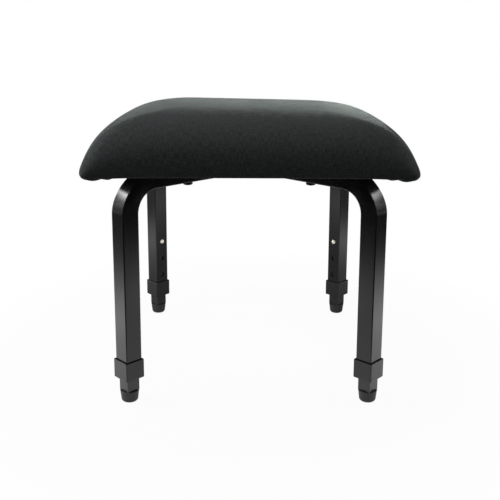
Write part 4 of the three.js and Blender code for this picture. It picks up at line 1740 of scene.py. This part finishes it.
@dataclass
class Studio:
    """The camera, the lamps, the pale floor and the white surround."""

    focal_pixels: float = 675.0923
    pitch: float = 0.2903
    yaw: float = 0.0104
    roll: float = 0.0054
    eye: Point = (-8.411 * MM, -1029.27 * MM, 479.10 * MM)
    clip: tuple[float, float] = (0.01, 100.0)
    floor_size: float = 12.0
    world_light: float = 0.4
    side_gloss: float = 0.04
    back_gloss: float = 0.7
    back_stops: Sequence[RampStop] = ((0.3, 0.0), (0.9, 1.0))
    paper: float = 0.25
    paper_stops: Sequence[RampStop] = ((0.3, 0.96), (0.6, 1.0))
    # In reflections the floor shows painted light: a glow about the stool, with painted shade beside and
    # behind it.
    floor_glow: float = 2.15
    glow_shape: Point = (0.7, 1.3, 1.0)
    glow_shift: Point = (0.0, -0.12, 0.0)
    glow_stops: Sequence[RampStop] = (
        (0.42, 0.95),
        (0.5, 0.9),
        (0.56, 0.52),
        (0.625, 0.27),
        (0.69, 0.05),
        (0.9, 0.0),
    )
    aside_stops: Sequence[RampStop] = ((0.16, 0.38), (0.22, 0.5), (0.32, 0.62), (0.42, 0.7), (0.5, 1.0))
    painted_shade_stops: Sequence[RampStop] = ((0.38, 1.0), (0.53, 0.24), (0.72, 0.24), (0.9, 1.0))
    painted_shade_shift: float = 0.5
    wide_stops: Sequence[RampStop] = ((0.55, 0.0), (0.8, 0.75))
    rear_glow: float = 0.8
    rear_stops: Sequence[RampStop] = ((0.35, 0.0), (0.6, 1.0))

    def camera(self) -> None:
        """Sets the camera where the photograph was taken from."""
        level_part = math.cos(self.pitch)
        ahead = (math.sin(self.yaw) * level_part, math.cos(self.yaw) * level_part, -math.sin(self.pitch))
        forward = Vector(ahead)
        level = Vector((math.cos(self.yaw), -math.sin(self.yaw), 0.0))
        upright = level.cross(forward)
        right = level * math.cos(self.roll) + upright * math.sin(self.roll)
        up = upright * math.cos(self.roll) - level * math.sin(self.roll)
        data = bpy.data.cameras.new("view")
        data.sensor_width = SENSOR_WIDTH
        data.lens = self.focal_pixels * SENSOR_WIDTH / PHOTO_PIXELS
        data.clip_start, data.clip_end = self.clip
        camera = bpy.data.objects.new("view", data)
        turn = Matrix((right, up, -forward)).transposed().to_4x4()
        camera.matrix_world = Matrix.Translation(self.eye) @ turn
        bpy.context.scene.collection.objects.link(camera)
        bpy.context.scene.camera = camera

    def surround(self) -> None:
        """A white world for the eye and for reflections, and a softer one for the light it gives."""
        world = bpy.data.worlds.new("surround")
        bpy.context.scene.world = world
        world.use_nodes = True
        graph = Graph(world.node_tree)
        way = graph.node("ShaderNodeTexCoord", output="Generated")
        back = graph.ramp(graph.part(way, "Y"), self.back_stops)
        gloss = self.side_gloss - self.world_light + self.back_gloss * back
        seen = graph.ray("Camera") + graph.ray("Transmission")
        strength = self.world_light + (1.0 - self.world_light) * seen + graph.ray("Glossy") * gloss
        white = {"Color": (1.0, 1.0, 1.0, 1.0), "Strength": strength}
        background = graph.node("ShaderNodeBackground", inputs=white)
        graph.node("ShaderNodeOutputWorld", inputs={"Surface": background})

    def mirrored_floor(self, graph: Graph, place: Wire) -> Wire:
        """How bright each place on the floor is in a reflection.

        Args:
            graph: the floor material's graph.
            place: the place on the floor.

        Returns:
            The brightness, painted for reflections only: a painted pool of light about the stool,
            painted shade beside and behind it, and a bright far floor.
        """
        back = graph.part(place, "Y")
        sideways = graph.length(graph.stretched(place, (1.0, 0.0, 0.0)))
        away = graph.length(graph.stretched(graph.moved(place, self.glow_shift), self.glow_shape))
        # Painted pool of light about the stool, darker near its middle line; seen only in reflections.
        painted_pool = graph.ramp(away, self.glow_stops) * graph.ramp(sideways, self.aside_stops)
        # Painted shade behind the stool, lifted again far out to the sides.
        painted_shade = graph.ramp(back + self.painted_shade_shift, self.painted_shade_stops)
        wide = graph.ramp(sideways, self.wide_stops)
        rear = self.rear_glow * graph.ramp(back, self.rear_stops)
        return self.floor_glow * painted_pool * (painted_shade + (1.0 - painted_shade) * wide) + rear

    def floor_paper(self) -> bpy.types.Material:
        """The floor's material: white to the eye, but for the stool's shadow."""
        material = bpy.data.materials.new("floor_paper")
        material.use_nodes = True
        graph = Graph(material.node_tree)
        place = graph.place()
        glossy = graph.ray("Glossy")
        # Reflections see the painted glow from mirrored_floor, not the lit paper.
        strength = 1.0 + glossy * (self.mirrored_floor(graph, place) - 1.0)
        white = {"Color": (1.0, 1.0, 1.0, 1.0), "Strength": strength}
        glow = graph.node("ShaderNodeEmission", inputs=white)
        grey = {"Color": (self.paper, self.paper, self.paper, 1.0)}
        paper = graph.node("ShaderNodeBsdfDiffuse", inputs=grey)
        near = graph.ramp(graph.length(place), self.paper_stops)
        share = near * (graph.ray("Camera") + graph.ray("Transmission")) + glossy
        mixed = graph.node("ShaderNodeMixShader", inputs={0: share, 1: paper, 2: glow})
        graph.node("ShaderNodeOutputMaterial", inputs={"Surface": mixed})
        return material

    def floor(self) -> None:
        """A pale floor that reads as white and still takes the stool's shadow."""
        half = 0.5 * self.floor_size
        corners = [(-half, -half, 0.0), (half, -half, 0.0), (half, half, 0.0), (-half, half, 0.0)]
        mesh = bpy.data.meshes.new("floor")
        mesh.from_pydata(corners, [], [(0, 1, 2, 3)])
        mesh.materials.append(self.floor_paper())
        floor = bpy.data.objects.new("floor", mesh)
        bpy.context.scene.collection.objects.link(floor)

    def build(self) -> None:
        """Sets up the view, the light and the surround."""
        self.camera()
        for lamp in LAMPS:
            lamp.hang()
        self.surround()
        self.floor()
        bpy.context.scene.view_settings.view_transform = "Standard"


def main() -> None:
    """Builds the stage and then the stool, one sub-assembly after the other."""
    logging.basicConfig(level=logging.INFO, format="%(name)s: %(message)s")
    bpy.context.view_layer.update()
    Studio().build()
    bench = Bench()
    tubes = Frame()
    tubes.build(bench)
    for corner in Corner:
        Leg(corner, tubes.leg_place(corner.turn), tubes).build(bench)
        SeatBolt(corner, tubes.bolt_place(corner.turn)).build(bench)
    SeatPad().build(bench)


if __name__ == "__main__":
    main()
